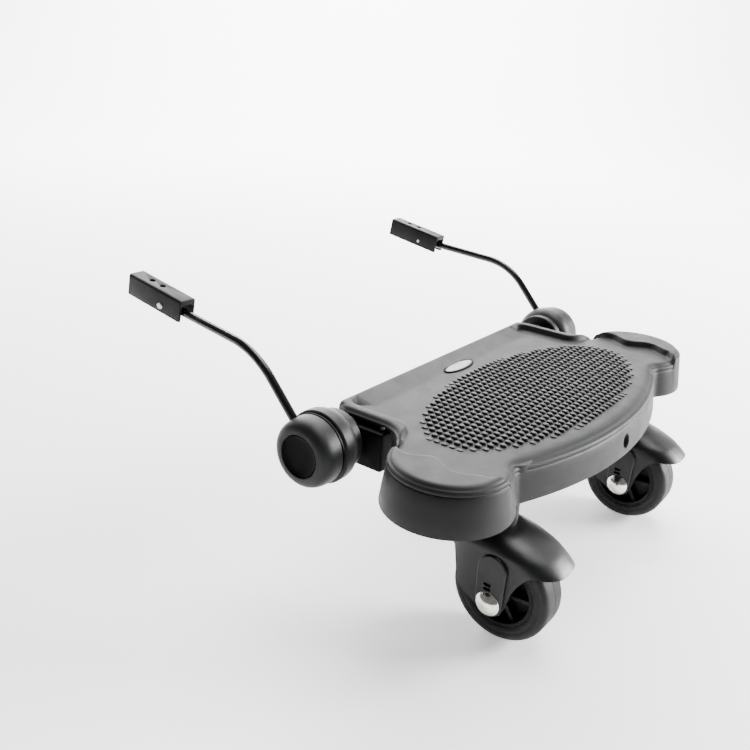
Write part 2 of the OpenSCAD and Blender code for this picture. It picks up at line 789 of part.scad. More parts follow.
// Side view of a leg, behind and in front of the wheel bolt
module leg_side() {
    polygon(concat(
        [[hood_y - 2 * hood_reach, hood_rim]],
        curve([hood_y - 27, hood_rim], [hood_y - 14, 56], [hood_y - 11, axle_z - 3], 8),
        arc([hood_y, axle_z], 11.4, 205, 300, 7),
        curve([hood_y + 26, axle_z], [hood_y + 40, 50], [hood_y + 40.5, hood_rim], 8),
        [[hood_y + 2 * hood_reach, hood_rim], [hood_y + 2 * hood_reach, crown_z + 9],
            [hood_y - 2 * hood_reach, crown_z + 9]]
    ));
}

// Raised rib with an arched top that carries the wheel bolt
module leg_rib() {
    r = leg_rib_w / 2;
    rotate([90, 0, 90]) translate([0, 0, bar_in]) linear_extrude(bar_out - bar_in)
        polygon(concat(
            arc([hood_y, axle_z], r - 2, 180, 360, 12),
            arc([hood_y, hood_rim + 8 - r], r, 0, 180, 12)
        ));
}

module fork(side) {
    color(black) on_caster(side) difference() {
        union() {
            intersection() {
                difference() {
                    hood_outer();
                    hood_inner();
                }
                rotate([90, 0, 90]) translate([0, 0, -2 * hood_half])
                    linear_extrude(4 * hood_half) leg_side();
            }
            for (s = [0, 1]) mirror([s, 0, 0]) {
                leg_rib();
                translate([tyre_w / 2 + face_gap, hood_y, axle_z]) rotate([0, 90, 0])
                    cylinder(r = axle_d / 2 + 3, h = bar_in - tyre_w / 2);
            }
        }
        translate([0, 0, shelf_z - 3]) cylinder(r = stem_d / 2, h = crown_z);
        translate([-2 * hood_half, hood_y, axle_z]) rotate([0, 90, 0])
            cylinder(r = axle_d / 2, h = 4 * hood_half);
        for (s = [-1, 1]) translate([s * (bar_out + 0.5), hood_y + 2.7, axle_z + 11])
            cube([4, 8, 4], center = true);
    }
}
module fork_l() { fork(-1); }
module fork_r() { fork(1); }

// Domed bolt through the wheel, its head on the same side of both casters
module axle_bolt(side) {
    face = hood_half + leg_rib_out;
    dome = 5.2;
    dome_r = (pow(bolt_head_r, 2) + dome * dome) / (2 * dome);
    edge_a = acos((dome_r - dome) / dome_r);
    color(steel) on_axle(side) {
        rotate([0, 180, 0]) translate([0, 0, face]) rotate_extrude() polygon(concat(
            [[0, 0], [bolt_head_r, 0]],
            arc([0, dome - dome_r], dome_r, 90 - edge_a, 90, 10)
        ));
        translate([0, 0, -face - 0.1]) cylinder(r = axle_d / 2, h = 2 * face + 6.1);
    }
}
module axle_bolt_l() { axle_bolt(-1); }
module axle_bolt_r() { axle_bolt(1); }

module axle_nut(side) {
    face = hood_half + leg_rib_out;
    color(steel) on_axle(side) translate([0, 0, face]) difference() {
        union() {
            cylinder(r = axle_d / 2 + 4.5, h = 1);
            translate([0, 0, 0.9]) cylinder(r = axle_d / 2 + 3, h = 4.6, $fn = 6);
        }
        translate([0, 0, -1]) cylinder(r = axle_d / 2, h = 12);
    }
}
module axle_nut_l() { axle_nut(-1); }
module axle_nut_r() { axle_nut(1); }

// Spoked wheel centre
module wheel_core(side) {
    half = tyre_w / 2 - 1.2;
    hub_out = axle_d / 2 + 5;
    color(dark) on_axle(side) difference() {
        union() {
            tube_of(rim_r, rim_r - 3, -half, half);
            translate([0, 0, -half]) cylinder(r = hub_out, h = 2 * half);
            translate([0, 0, -1.5]) cylinder(r = rim_r - 1, h = 3);
            for (i = [0 : spokes - 1]) rotate(360 * i / spokes)
                translate([hub_out - 1, -1.6, -half + 2]) cube([rim_r - hub_out - 1, 3.2, 2 * half - 4]);
        }
        translate([0, 0, -half - 1]) cylinder(r = axle_d / 2 + 2, h = tyre_w);
    }
}
module wheel_core_l() { wheel_core(-1); }
module wheel_core_r() { wheel_core(1); }

module wheel_bush(side) {
    color(nylon) on_axle(side)
        tube_of(axle_d / 2 + 2, axle_d / 2 + run_gap, -tyre_w / 2, tyre_w / 2);
}
module wheel_bush_l() { wheel_bush(-1); }
module wheel_bush_r() { wheel_bush(1); }

module tyre(side) {
    half = tyre_w / 2;
    color(dark) on_axle(side) rotate_extrude() polygon(concat(
        [[rim_r, -half + 1.2], [rim_r + 1.5, -half]],
        arc([axle_z - tyre_round, -half + tyre_round], tyre_round, -90, 0, 6),
        arc([axle_z - tyre_round, half - tyre_round], tyre_round, 0, 90, 6),
        [[rim_r + 1.5, half], [rim_r, half - 1.2]]
    ));
}
module tyre_l() { tyre(-1); }
module tyre_r() { tyre(1); }

deck_shell();
badge_plate();
cross_tube();
bracket_screws();
hub_bracket_l();
hub_base_l();
lock_ring_l();
friction_ring_l();
pivot_bolt_l();
hub_bracket_r();
hub_base_r();
lock_ring_r();
friction_ring_r();
pivot_bolt_r();
stem_bush_l();
stem_bush_r();
hub_cap_l();
arm_rod_l();
hub_button_l();
clutch_disc_l();
button_spring_l();
hub_cap_r();
arm_rod_r();
hub_button_r();
clutch_disc_r();
button_spring_r();
connector_l();
connector_pin_l();
connector_r();
connector_pin_r();
fork_l();
stem_l();
thrust_washer_l();
stem_clip_l();
axle_bolt_l();
axle_nut_l();
fork_r();
stem_r();
thrust_washer_r();
stem_clip_r();
axle_bolt_r();
axle_nut_r();
wheel_core_l();
wheel_bush_l();
tyre_l();
wheel_core_r();
wheel_bush_r();
tyre_r();
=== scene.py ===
import json
import math
import random

import bmesh
import bpy
import numpy as np
from mathutils import Matrix, Vector
from mathutils.geometry import delaunay_2d_cdt


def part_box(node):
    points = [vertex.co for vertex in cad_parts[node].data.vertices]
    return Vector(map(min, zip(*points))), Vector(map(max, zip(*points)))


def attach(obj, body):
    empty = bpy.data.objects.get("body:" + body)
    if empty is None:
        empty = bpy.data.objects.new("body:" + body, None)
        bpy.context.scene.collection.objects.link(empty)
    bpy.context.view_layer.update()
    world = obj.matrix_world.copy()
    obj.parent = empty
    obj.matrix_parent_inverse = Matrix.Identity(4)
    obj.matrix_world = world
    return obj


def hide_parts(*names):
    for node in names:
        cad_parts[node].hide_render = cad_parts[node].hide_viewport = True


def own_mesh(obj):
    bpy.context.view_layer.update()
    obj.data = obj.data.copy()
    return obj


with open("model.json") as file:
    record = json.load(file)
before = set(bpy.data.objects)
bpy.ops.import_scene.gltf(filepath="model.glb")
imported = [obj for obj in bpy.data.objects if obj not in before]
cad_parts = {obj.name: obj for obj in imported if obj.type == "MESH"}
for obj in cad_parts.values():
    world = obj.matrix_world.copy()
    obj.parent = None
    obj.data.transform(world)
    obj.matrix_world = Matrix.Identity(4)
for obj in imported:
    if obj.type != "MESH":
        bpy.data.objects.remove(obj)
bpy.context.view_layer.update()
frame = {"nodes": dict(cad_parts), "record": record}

random.seed(7)

# Lengths below are millimetres in the drawing frame of the part: floor at zero, swivel axes at
# Y zero. MID_Y moves them to the shared frame.
MM = 0.001
MID_Y = 128.377

DECK_TOP = 143.0
FIELD_Z = 138.0
SKIRT_Z = 109.0
CEILING_Z = 135.0
FRONT_Y = 134.0
REAR_Y = -40.0
FRONT_W = 291.0
LOBE_C = np.array([155.0, 20.5])
LOBE_R = 45.0
REAR_R = 320.0
REAR_CY = REAR_Y + REAR_R
CORNER_R = 15.0
WAIST_R = 22.5
NOTCH_R = 9.0
FIELD_DROP = DECK_TOP - FIELD_Z
STEP_HALF = 1.6

HUB_Y = 115.3
HUB_Z = 124.5
CASTER_X = 112.6
AXLE_Y = -10.0
AXLE_Z = 37.0
ROD_R = 3.25
ROD_X = 181.5
ROD_DEG = 47.4
ROD_ANGLE = math.radians(ROD_DEG)
ROD_LEG = 80
BEND_R = 60
LINK_AT = np.array([172.5, 272.45, 191.888])
LINK_TILT = math.radians(9.5)

SIDES = (("l", -1), ("r", 1))


# ---------------------------------------------------------------- mesh helpers

def add_object(name, data):
    obj = bpy.data.objects.new(name, data)
    bpy.context.scene.collection.objects.link(obj)
    return obj


def to_frame(points):
    """Points in metres in the shared frame, from drawing-frame points."""
    return [(float(x * MM), float((y - MID_Y) * MM), float(z * MM)) for x, y, z in points]


def smooth_shading(mesh, sharp):
    mesh.shade_smooth()
    mesh.set_sharp_from_angle(angle=math.radians(sharp))


def piece(name, verts, faces, body, slot, material, nodes=(), sharp=40.0):
    """A visible mesh object from drawing-frame points, riding on a body."""
    mesh = bpy.data.meshes.new(name)
    mesh.from_pydata(to_frame(verts), [], [tuple(map(int, f)) for f in faces])
    bm = bmesh.new()
    bm.from_mesh(mesh)
    bmesh.ops.remove_doubles(bm, verts=bm.verts, dist=1e-7)
    bmesh.ops.dissolve_degenerate(bm, edges=bm.edges, dist=1e-7)
    bmesh.ops.recalc_face_normals(bm, faces=bm.faces)
    bm.to_mesh(mesh)
    bm.free()
    smooth_shading(mesh, sharp)
    obj = add_object(name, mesh)
    mesh.materials.append(material)
    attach(obj, body)
    if nodes:
        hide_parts(*nodes)
    return obj


def tool_object(verts, faces):
    """A closed mesh in drawing-frame points that is only used to cut another one."""
    mesh = bpy.data.meshes.new("tool")
    mesh.from_pydata(to_frame(verts), [], faces)
    bm = bmesh.new()
    bm.from_mesh(mesh)
    bmesh.ops.recalc_face_normals(bm, faces=bm.faces)
    bm.to_mesh(mesh)
    bm.free()
    return add_object("tool", mesh)


def apply_modifiers(obj):
    bpy.context.view_layer.update()
    graph = bpy.context.evaluated_depsgraph_get()
    made = bpy.data.meshes.new_from_object(obj.evaluated_get(graph))
    obj.modifiers.clear()
    old = obj.data
    obj.data = made
    made.name = obj.name
    bpy.data.meshes.remove(old)


def carve(obj, tools, sharp=40.0):
    """Cuts the tools out of obj for good and removes them."""
    for tool in tools:
        mod = obj.modifiers.new("cut", "BOOLEAN")
        mod.operation = "DIFFERENCE"
        mod.solver = "EXACT"
        mod.object = tool
        apply_modifiers(obj)
        bpy.data.objects.remove(tool)
    bm = bmesh.new()
    bm.from_mesh(obj.data)
    bmesh.ops.remove_doubles(bm, verts=bm.verts, dist=2e-6)
    bmesh.ops.dissolve_degenerate(bm, edges=bm.edges, dist=2e-6)
    bm.to_mesh(obj.data)
    bm.free()
    smooth_shading(obj.data, sharp)


def soften(obj, width, segments):
    """Rounds the sharp edges of obj for good."""
    mod = obj.modifiers.new("edge", "BEVEL")
    mod.width = width * MM
    mod.segments = segments
    mod.limit_method = "ANGLE"
    mod.angle_limit = math.radians(38)
    mod.use_clamp_overlap = True
    apply_modifiers(obj)
    smooth_shading(obj.data, 40)


def fillet(points, radius, steps=4):
    """The closed outline with each corner rounded, by less where an edge is short."""
    out = []
    count = len(points)
    for i in range(count):
        p = np.array(points[i], float)
        before = np.array(points[i - 1], float) - p
        after = np.array(points[(i + 1) % count], float) - p
        la, lb = np.linalg.norm(before), np.linalg.norm(after)
        turn = abs(math.pi - math.acos(np.clip(before @ after / (la * lb), -1, 1)))
        if turn < math.radians(14):
            out.append(tuple(p))
            continue
        cut = min(radius * math.tan(turn / 2), 0.46 * la, 0.46 * lb)
        a, b = p + before / la * cut, p + after / lb * cut
        for k in range(steps + 1):
            t = k / steps
            out.append(tuple(a * (1 - t) ** 2 + p * 2 * t * (1 - t) + b * t * t))
    return out


def turned(profile, place, segments=72):
    """Points and faces of a closed (radius, height) outline turned about its axis."""
    verts, faces = [], []
    rows = len(profile)
    for i in range(segments):
        a = 2 * math.pi * i / segments
        for r, h in profile:
            verts.append(place(max(r, 0.0) * math.cos(a), max(r, 0.0) * math.sin(a), h))
    for i in range(segments):
        j = (i + 1) % segments
        for k in range(rows):
            n = (k + 1) % rows
            if profile[k][0] <= 0 and profile[n][0] <= 0:
                continue
            if profile[k][0] <= 0:
                faces.append((i * rows + k, j * rows + n, i * rows + n))
            elif profile[n][0] <= 0:
                faces.append((i * rows + k, j * rows + k, i * rows + n))
            else:
                faces.append((i * rows + k, j * rows + k, j * rows + n, i * rows + n))
    return verts, faces


def on_axis_x(x, y, z, way):
    """Local height runs along X, outward for way 1 or -1."""
    return lambda u, v, h: (x + way * h, y + u, z + v)


def on_axis_z(x, y, z):
    return lambda u, v, h: (x + u, y + v, z + h)


def moved(place, du, dv):
    return lambda u, v, h: place(du + u, dv + v, h)


def join_parts(parts):
    """One list of points and faces from several."""
    verts, faces = [], []
    for v, f in parts:
        base = len(verts)
        verts += list(v)
        faces += [tuple(i + base for i in face) for face in f]
    return verts, faces


def skin_faces(count, n):
    """Quads between count rings of n points each, one ring after the other."""
    faces = []
    for k in range(count - 1):
        for i in range(n):
            j = (i + 1) % n
            faces.append((k * n + i, k * n + j, (k + 1) * n + j, (k + 1) * n + i))
    return faces


def loft(rings):
    """Skin over rings of equal count, with a fan in each end."""
    n = len(rings[0])
    verts = [p for ring in rings for p in ring]
    faces = skin_faces(len(rings), n)
    for k, way in ((0, -1), (len(rings) - 1, 1)):
        c = len(verts)
        verts.append(tuple(np.mean(np.array(rings[k]), axis=0)))
        for i in range(n):
            j = (i + 1) % n
            face = (k * n + i, k * n + j, c)
            faces.append(face if way > 0 else face[::-1])
    return verts, faces


def inset(outline, d):
    """The counter-clockwise outline moved inward by d, for gentle shapes."""
    p = np.array(outline, float)
    t = np.roll(p, -1, axis=0) - np.roll(p, 1, axis=0)
    t /= np.maximum(np.linalg.norm(t, axis=1), 1e-9)[:, None]
    return p + d * np.c_[-t[:, 1], t[:, 0]]


def slab(outline, low, high, edge, place, low_edge=0.0):
    """A prism over the outline between two heights, with its edges rounded by edge."""
    rings = []
    if low_edge > 0:
        for k in range(3):
            a = math.pi / 2 * k / 3
            rings.append((low_edge * (1 - math.sin(a)), low + low_edge * (1 - math.cos(a))))
        rings.append((0.0, low + low_edge))
    else:
        rings.append((0.0, low))
    for k in range(5):
        a = math.pi / 2 * k / 4
        rings.append((edge * (1 - math.cos(a)), high - edge * (1 - math.sin(a))))
    return loft([[place(u, v, h) for u, v in inset(outline, d)] for d, h in rings])


def arc(cx, cy, r, a0, a1, n):
    """n + 1 points on a circle, between two angles in degrees."""
    a = np.radians(np.linspace(a0, a1, n + 1))
    return np.c_[cx + r * np.cos(a), cy + r * np.sin(a)]


def box_points(low, high):
    """Points and faces of a box between two corners."""
    (a, b, c), (d, e, f) = low, high
    v = [(a, b, c), (d, b, c), (d, e, c), (a, e, c),
         (a, b, f), (d, b, f), (d, e, f), (a, e, f)]
    return v, [(0, 3, 2, 1), (4, 5, 6, 7), (0, 1, 5, 4), (1, 2, 6, 5), (2, 3, 7, 6), (3, 0, 4, 7)]


# ---------------------------------------------------------------- materials

def shade(name, rough, metal=0.0, specular=0.5, coat=0.0, coat_rough=0.1):
    """A new material with its constants on the shader's own sockets."""
    mat = bpy.data.materials.new(name)
    mat.use_nodes = True
    nodes, links = mat.node_tree.nodes, mat.node_tree.links
    bsdf = nodes["Principled BSDF"]
    bsdf.inputs["Metallic"].default_value = metal
    bsdf.inputs["Roughness"].default_value = rough
    bsdf.inputs["Specular IOR Level"].default_value = specular
    bsdf.inputs["Coat Weight"].default_value = coat
    bsdf.inputs["Coat Roughness"].default_value = coat_rough
    return mat, nodes, links, bsdf


def noise(nodes, links, scale, detail=4.0, rough=0.55, stretch=(1, 1, 1)):
    """A noise fixed to the object, as a number."""
    coord = nodes.new("ShaderNodeTexCoord")
    mapping = nodes.new("ShaderNodeMapping")
    mapping.inputs["Scale"].default_value = stretch
    tex = nodes.new("ShaderNodeTexNoise")
    tex.inputs["Scale"].default_value = scale
    tex.inputs["Detail"].default_value = detail
    tex.inputs["Roughness"].default_value = rough
    links.new(coord.outputs["Object"], mapping.inputs["Vector"])
    links.new(mapping.outputs["Vector"], tex.inputs["Vector"])
    return tex.outputs["Fac"]


def spread(nodes, links, source, low, high, start=0.3, end=0.7):
    """Maps a noise to colours, or to numbers when low is a number."""
    ramp = nodes.new("ShaderNodeValToRGB")
    one = (lambda c: (c, c, c, 1)) if isinstance(low, float) else (lambda c: (*c, 1))
    ramp.color_ramp.elements[0].position = start
    ramp.color_ramp.elements[1].position = end
    ramp.color_ramp.elements[0].color = one(low)
    ramp.color_ramp.elements[1].color = one(high)
    links.new(source, ramp.inputs["Fac"])
    return ramp.outputs["Color"]


def grain(nodes, links, bsdf, parts, distance):
    """Bump from several (noise scale, strength) layers, each into the next."""
    last = None
    for scale, strength in parts:
        bump = nodes.new("ShaderNodeBump")
        bump.inputs["Strength"].default_value = strength
        bump.inputs["Distance"].default_value = distance
        links.new(noise(nodes, links, scale, 3.0), bump.inputs["Height"])
        if last is not None:
            links.new(last, bump.inputs["Normal"])
        last = bump.outputs["Normal"]
    links.new(last, bsdf.inputs["Normal"])


def moulded(name, dark, light, rough, spread_rough, grain_scale=2600, grain_depth=0.25,
            scuff=0.0, **more):
    """Moulded plastic or rubber: two close tones in soft clouds, fine grain and faint scuffs."""
    mat, nodes, links, bsdf = shade(name, rough, **more)
    cloudy = spread(nodes, links, noise(nodes, links, 14, 5.0, 0.6), dark, light)
    if scuff > 0:
        lines = noise(nodes, links, 55, 6.0, 0.7, (1.0, 0.16, 0.6))
        mask = spread(nodes, links, lines, 0.0, 1.0, 0.62, 0.78)
        mix = nodes.new("ShaderNodeMix")
        mix.data_type = "RGBA"
        mix.blend_type = "SCREEN"
        scale = nodes.new("ShaderNodeMath")
        scale.operation = "MULTIPLY"
        scale.inputs[1].default_value = scuff
        links.new(mask, scale.inputs[0])
        links.new(scale.outputs["Value"], mix.inputs["Factor"])
        links.new(cloudy, mix.inputs["A"])
        mix.inputs["B"].default_value = (0.6, 0.6, 0.58, 1)
        cloudy = mix.outputs["Result"]
    links.new(cloudy, bsdf.inputs["Base Color"])
    links.new(spread(nodes, links, noise(nodes, links, 60, 4.0), rough - spread_rough,
                     rough + spread_rough), bsdf.inputs["Roughness"])
    grain(nodes, links, bsdf, [(grain_scale, grain_depth), (grain_scale / 7, grain_depth * 0.35)],
          0.00012)
    return mat


def metal(name, dark, light, rough, spread_rough, brushed=(1, 1, 1)):
    """Metal in two close tones, in streaks where brushed stretches the noise."""
    mat, nodes, links, bsdf = shade(name, rough, metal=1.0)
    streaks = noise(nodes, links, 420, 4.0, 0.6, brushed)
    links.new(spread(nodes, links, streaks, dark, light), bsdf.inputs["Base Color"])
    links.new(spread(nodes, links, noise(nodes, links, 180, 4.0), rough - spread_rough,
                     rough + spread_rough), bsdf.inputs["Roughness"])
    grain(nodes, links, bsdf, [(900, 0.08)], 0.00006)
    return mat


DECK = moulded("deck_grey", (0.0095, 0.0096, 0.0098), (0.0125, 0.0126, 0.0128), 0.50, 0.05,
               scuff=0.010, specular=0.17)
GRIP = moulded("grip_grey", (0.0085, 0.0086, 0.0088), (0.0115, 0.0116, 0.0118), 0.46, 0.05,
               grain_scale=1800, specular=0.19)
HUB = moulded("hub_grey", (0.0062, 0.0064, 0.0068), (0.0084, 0.0086, 0.0092), 0.46, 0.05,
              scuff=0.008, specular=0.20)
BUTTON = moulded("button_dark", (0.0004, 0.0004, 0.0004), (0.0007, 0.0007, 0.0007), 0.42, 0.05,
                 specular=0.03)
BLACK = moulded("black_plastic", (0.0014, 0.0014, 0.0015), (0.0026, 0.0026, 0.0028), 0.48, 0.06,
                grain_scale=1900, specular=0.14)
# Black plastic of the hub brackets, painted darker than BLACK as painted shade for the shadow under
# the platform
SHADED = moulded("bracket_black", (0.0006, 0.0006, 0.0006), (0.0011, 0.0011, 0.0012), 0.55, 0.05,
                 grain_scale=1900, specular=0.06)
FORK = moulded("fork_black", (0.0032, 0.0033, 0.0035), (0.0050, 0.0051, 0.0054), 0.38, 0.06,
               scuff=0.010, specular=0.30)
CORE = moulded("wheel_dark", (0.0014, 0.0014, 0.0015), (0.0026, 0.0026, 0.0027), 0.45, 0.06,
               specular=0.16)
TYRE = moulded("tyre_dark", (0.0062, 0.0062, 0.0064), (0.0092, 0.0092, 0.0095), 0.58, 0.07,
               grain_scale=1300, grain_depth=0.4, scuff=0.02, specular=0.25)
NYLON = moulded("nylon", (0.008, 0.008, 0.008), (0.012, 0.012, 0.012), 0.5, 0.06, grain_scale=1500,
                specular=0.2)
ROD = moulded("rod_black", (0.0012, 0.0012, 0.0013), (0.0022, 0.0022, 0.0024), 0.24, 0.05,
              grain_scale=900, grain_depth=0.12, coat=0.2, coat_rough=0.12, specular=0.3)
NICKEL = metal("nickel", (0.66, 0.62, 0.56), (0.82, 0.78, 0.72), 0.17, 0.06)
STEEL = metal("bare_steel", (0.42, 0.42, 0.41), (0.58, 0.57, 0.55), 0.34, 0.07, (1, 1, 6))
BADGE = moulded("badge_dark", (0.0008, 0.0008, 0.0008), (0.0013, 0.0013, 0.0014), 0.5, 0.04,
                grain_depth=0.1, specular=0.04)
PLATE = metal("badge_plate_silver", (0.10, 0.10, 0.10), (0.22, 0.22, 0.22), 0.36, 0.08, (10, 1, 1))

SLOT_MATERIAL = {
    "deck_grey": DECK, "badge_dark": BADGE, "bare_steel": STEEL, "black_plastic": BLACK,
    "hub_grey": HUB, "button_dark": BUTTON, "rod_black": ROD, "fork_black": FORK,
    "nickel": NICKEL, "nylon": NYLON, "wheel_dark": CORE, "tyre_dark": TYRE,
}
for part in frame["record"]["subparts"]:
    node = frame["nodes"][part["node"]]
    finish = SLOT_MATERIAL[part["material_slot"]]
    if not node.material_slots:
        node.data.materials.append(finish)
    for held in node.material_slots:
        held.material = finish


# ---------------------------------------------------------------- platform

def smooth(t):
    """A soft step from 0 to 1."""
    t = np.clip(t, 0, 1)
    return t * t * (3 - 2 * t)


WAIST_X = FRONT_W / 2 + WAIST_R
WAIST_Y = LOBE_C[1] + math.sqrt((LOBE_R + WAIST_R) ** 2 - (WAIST_X - LOBE_C[0]) ** 2)
WAIST_A = math.degrees(math.atan2(WAIST_Y - LOBE_C[1], WAIST_X - LOBE_C[0]))


def notch_centre():
    """Centre of the small circle that rounds the corner between lobe and rear curve."""
    rp, rq = LOBE_R + NOTCH_R, REAR_R + NOTCH_R
    p, q = LOBE_C, np.array([0.0, REAR_CY])
    d = np.linalg.norm(q - p)
    along = (d * d + rp * rp - rq * rq) / (2 * d)
    off = math.sqrt(rp * rp - along * along)
    u = (q - p) / d
    side = -1 if u[0] < 0 else 1
    return p + along * u + off * np.array([u[1], -u[0]]) * side


NOTCH_C = notch_centre()
NOTCH_A = math.degrees(math.atan2(NOTCH_C[1] - LOBE_C[1], NOTCH_C[0] - LOBE_C[0]))
NOTCH_B = math.degrees(math.atan2(REAR_CY - NOTCH_C[1], -NOTCH_C[0]))


def half_outline():
    """Outline points and outward normals of the right half, from the front to the rear."""
    runs = [
        (FRONT_W / 2 - CORNER_R, FRONT_Y - CORNER_R, CORNER_R, 90, 0, 16, 1),
        (WAIST_X, WAIST_Y, WAIST_R, 180, 180 + WAIST_A, 20, -1),
        (LOBE_C[0], LOBE_C[1], LOBE_R, WAIST_A, NOTCH_A, 76, 1),
        (NOTCH_C[0], NOTCH_C[1], NOTCH_R, NOTCH_A + 180, NOTCH_B, 14, -1),
        (0, REAR_CY, REAR_R, NOTCH_B - 180, -90, 50, 1),
    ]
    points, normals = [], []
    for i, (cx, cy, r, a0, a1, n, way) in enumerate(runs):
        p = arc(cx, cy, r, a0, a1, n)
        m = arc(0, 0, 1, a0, a1, n) * way
        if i == 1:
            side = np.array([[FRONT_W / 2, y] for y in np.linspace(
                FRONT_Y - CORNER_R, WAIST_Y, 12)[1:-1]])
            points.append(side)
            normals.append(np.tile([1.0, 0.0], (len(side), 1)))
        points.append(p if i < 2 else p[1:])
        normals.append(m if i < 2 else m[1:])
    return np.vstack(points), np.vstack(normals)


HALF_P, HALF_N = half_outline()
OUT_P = np.vstack([HALF_P[::-1], (HALF_P * [-1, 1])[:-1]])
OUT_N = np.vstack([HALF_N[::-1], (HALF_N * [-1, 1])[:-1]])
front_run = np.array([[x, FRONT_Y] for x in np.linspace(
    FRONT_W / 2 - CORNER_R, -FRONT_W / 2 + CORNER_R, 42)[1:-1]])
OUT_P = np.insert(OUT_P, len(HALF_P), front_run, axis=0)
OUT_N = np.insert(OUT_N, len(HALF_P), np.tile([0.0, 1.0], (len(front_run), 1)), axis=0)

# Share of the rear and the front edge form at each outline point, 0 where EDGE holds
REAR_SHARE = np.where(OUT_P[:, 1] < 0, smooth((138.0 - np.abs(OUT_P[:, 0])) / 32.0), 0.0)
FRONT_SHARE = smooth((OUT_N[:, 1] - 0.75) / 0.25) * (OUT_P[:, 1] > FRONT_Y - 12)


def wave(y):
    """X of the wavy edge between a lobe and the field."""
    return 164.0 + 4.0 * math.cos(2 * math.pi * (y - (LOBE_C[1] + 27)) / 38.0)


def field_outline():
    """Mid line of the step round the standing field, open over the rear edge."""
    side = FRONT_W / 2 - 15.0
    corner_r = 9
    pts = [tuple(p) for p in arc(side - corner_r, FRONT_Y - 18.2, corner_r, 90, 0, 12)]
    a = np.array([side, WAIST_Y - 8])
    b = np.array([side, WAIST_Y - 22])
    c = np.array([wave(WAIST_Y - 26) - 2, WAIST_Y - 24])
    for t in np.linspace(0, 1, 12):
        pts.append(tuple(a * (1 - t) ** 2 + b * 2 * t * (1 - t) + c * t * t))
    for y in np.linspace(WAIST_Y - 27, -9.5, 46):
        pts.append((wave(y), y))
    last = np.array(pts[-1])
    for t in np.linspace(0, 1, 8)[1:]:
        pts.append(tuple(last * (1 - t) + np.array([NOTCH_C[0] + 12, NOTCH_C[1] - 8]) * t))
    pts.append((NOTCH_C[0] + 8, REAR_Y - 20))
    return np.array(pts + [(-x, y) for x, y in pts[::-1]])


FIELD = field_outline()
FIELD_NEXT = np.roll(FIELD, -1, axis=0)


def field_depth(points):
    """Signed distance inside the field outline, positive inside."""
    out = np.empty(len(points))
    edge = FIELD_NEXT - FIELD
    length2 = (edge ** 2).sum(1)
    for i, p in enumerate(points):
        rel = p - FIELD
        t = np.clip((rel * edge).sum(1) / length2, 0, 1)
        dist = np.sqrt(((rel - edge * t[:, None]) ** 2).sum(1)).min()
        above = FIELD[:, 1] > p[1]
        crosses = above != (FIELD_NEXT[:, 1] > p[1])
        with np.errstate(divide="ignore", invalid="ignore"):
            x = FIELD[:, 0] + (p[1] - FIELD[:, 1]) / edge[:, 1] * edge[:, 0]
        inside = np.count_nonzero(crosses & (x > p[0])) % 2
        out[i] = dist if inside else -dist
    return out


def top_z(points):
    return DECK_TOP - FIELD_DROP * smooth((field_depth(points) + STEP_HALF) / (2 * STEP_HALF))


# Edge form as (inset, drop below the top), from the wall up: round the lobes and the sides,
# along the rear curve, where the field rolls off over a wider edge, and along the front
EDGE = [(3.30, 7.4), (3.70, 6.75), (4.15, 6.2), (3.80, 5.8), (3.55, 5.1), (3.65, 4.1),
        (4.15, 3.1), (4.95, 2.5), (5.55, 2.3), (5.95, 1.85), (6.6, 1.1), (7.6, 0.4), (8.8, 0.08),
        (10.2, 0.0)]
EDGE_REAR = [(3.0, 8.6), (3.45, 8.0), (3.95, 7.45), (3.60, 7.0), (3.35, 6.2), (3.50, 5.0),
             (4.2, 4.0), (5.3, 3.45), (6.1, 3.3), (6.6, 2.9), (7.7, 2.05), (9.8, 1.0),
             (12.8, 0.28), (16.0, 0.0)]
EDGE_FRONT = [(2.9, 7.4), (3.2, 6.75), (3.5, 6.2), (3.2, 5.8), (2.9, 5.1), (2.85, 4.1), (2.9, 3.1),
              (3.1, 2.4), (3.3, 1.9), (3.6, 1.35), (4.1, 0.75), (4.8, 0.3), (5.7, 0.06), (6.8, 0.0)]
# Inner wall as (inset, height)
INSIDE = [(0.9, SKIRT_Z), (2.6, SKIRT_Z), (3.05, SKIRT_Z + 0.4), (5.6, 130.0), (6.3, 133.4),
          (7.2, 134.6), (9.0, CEILING_Z)]
INSIDE_REAR = [(0.9, SKIRT_Z), (2.6, SKIRT_Z), (3.05, SKIRT_Z + 0.4), (5.3, 126.0), (6.6, 129.6),
               (10.0, 133.3), (15.5, CEILING_Z)]


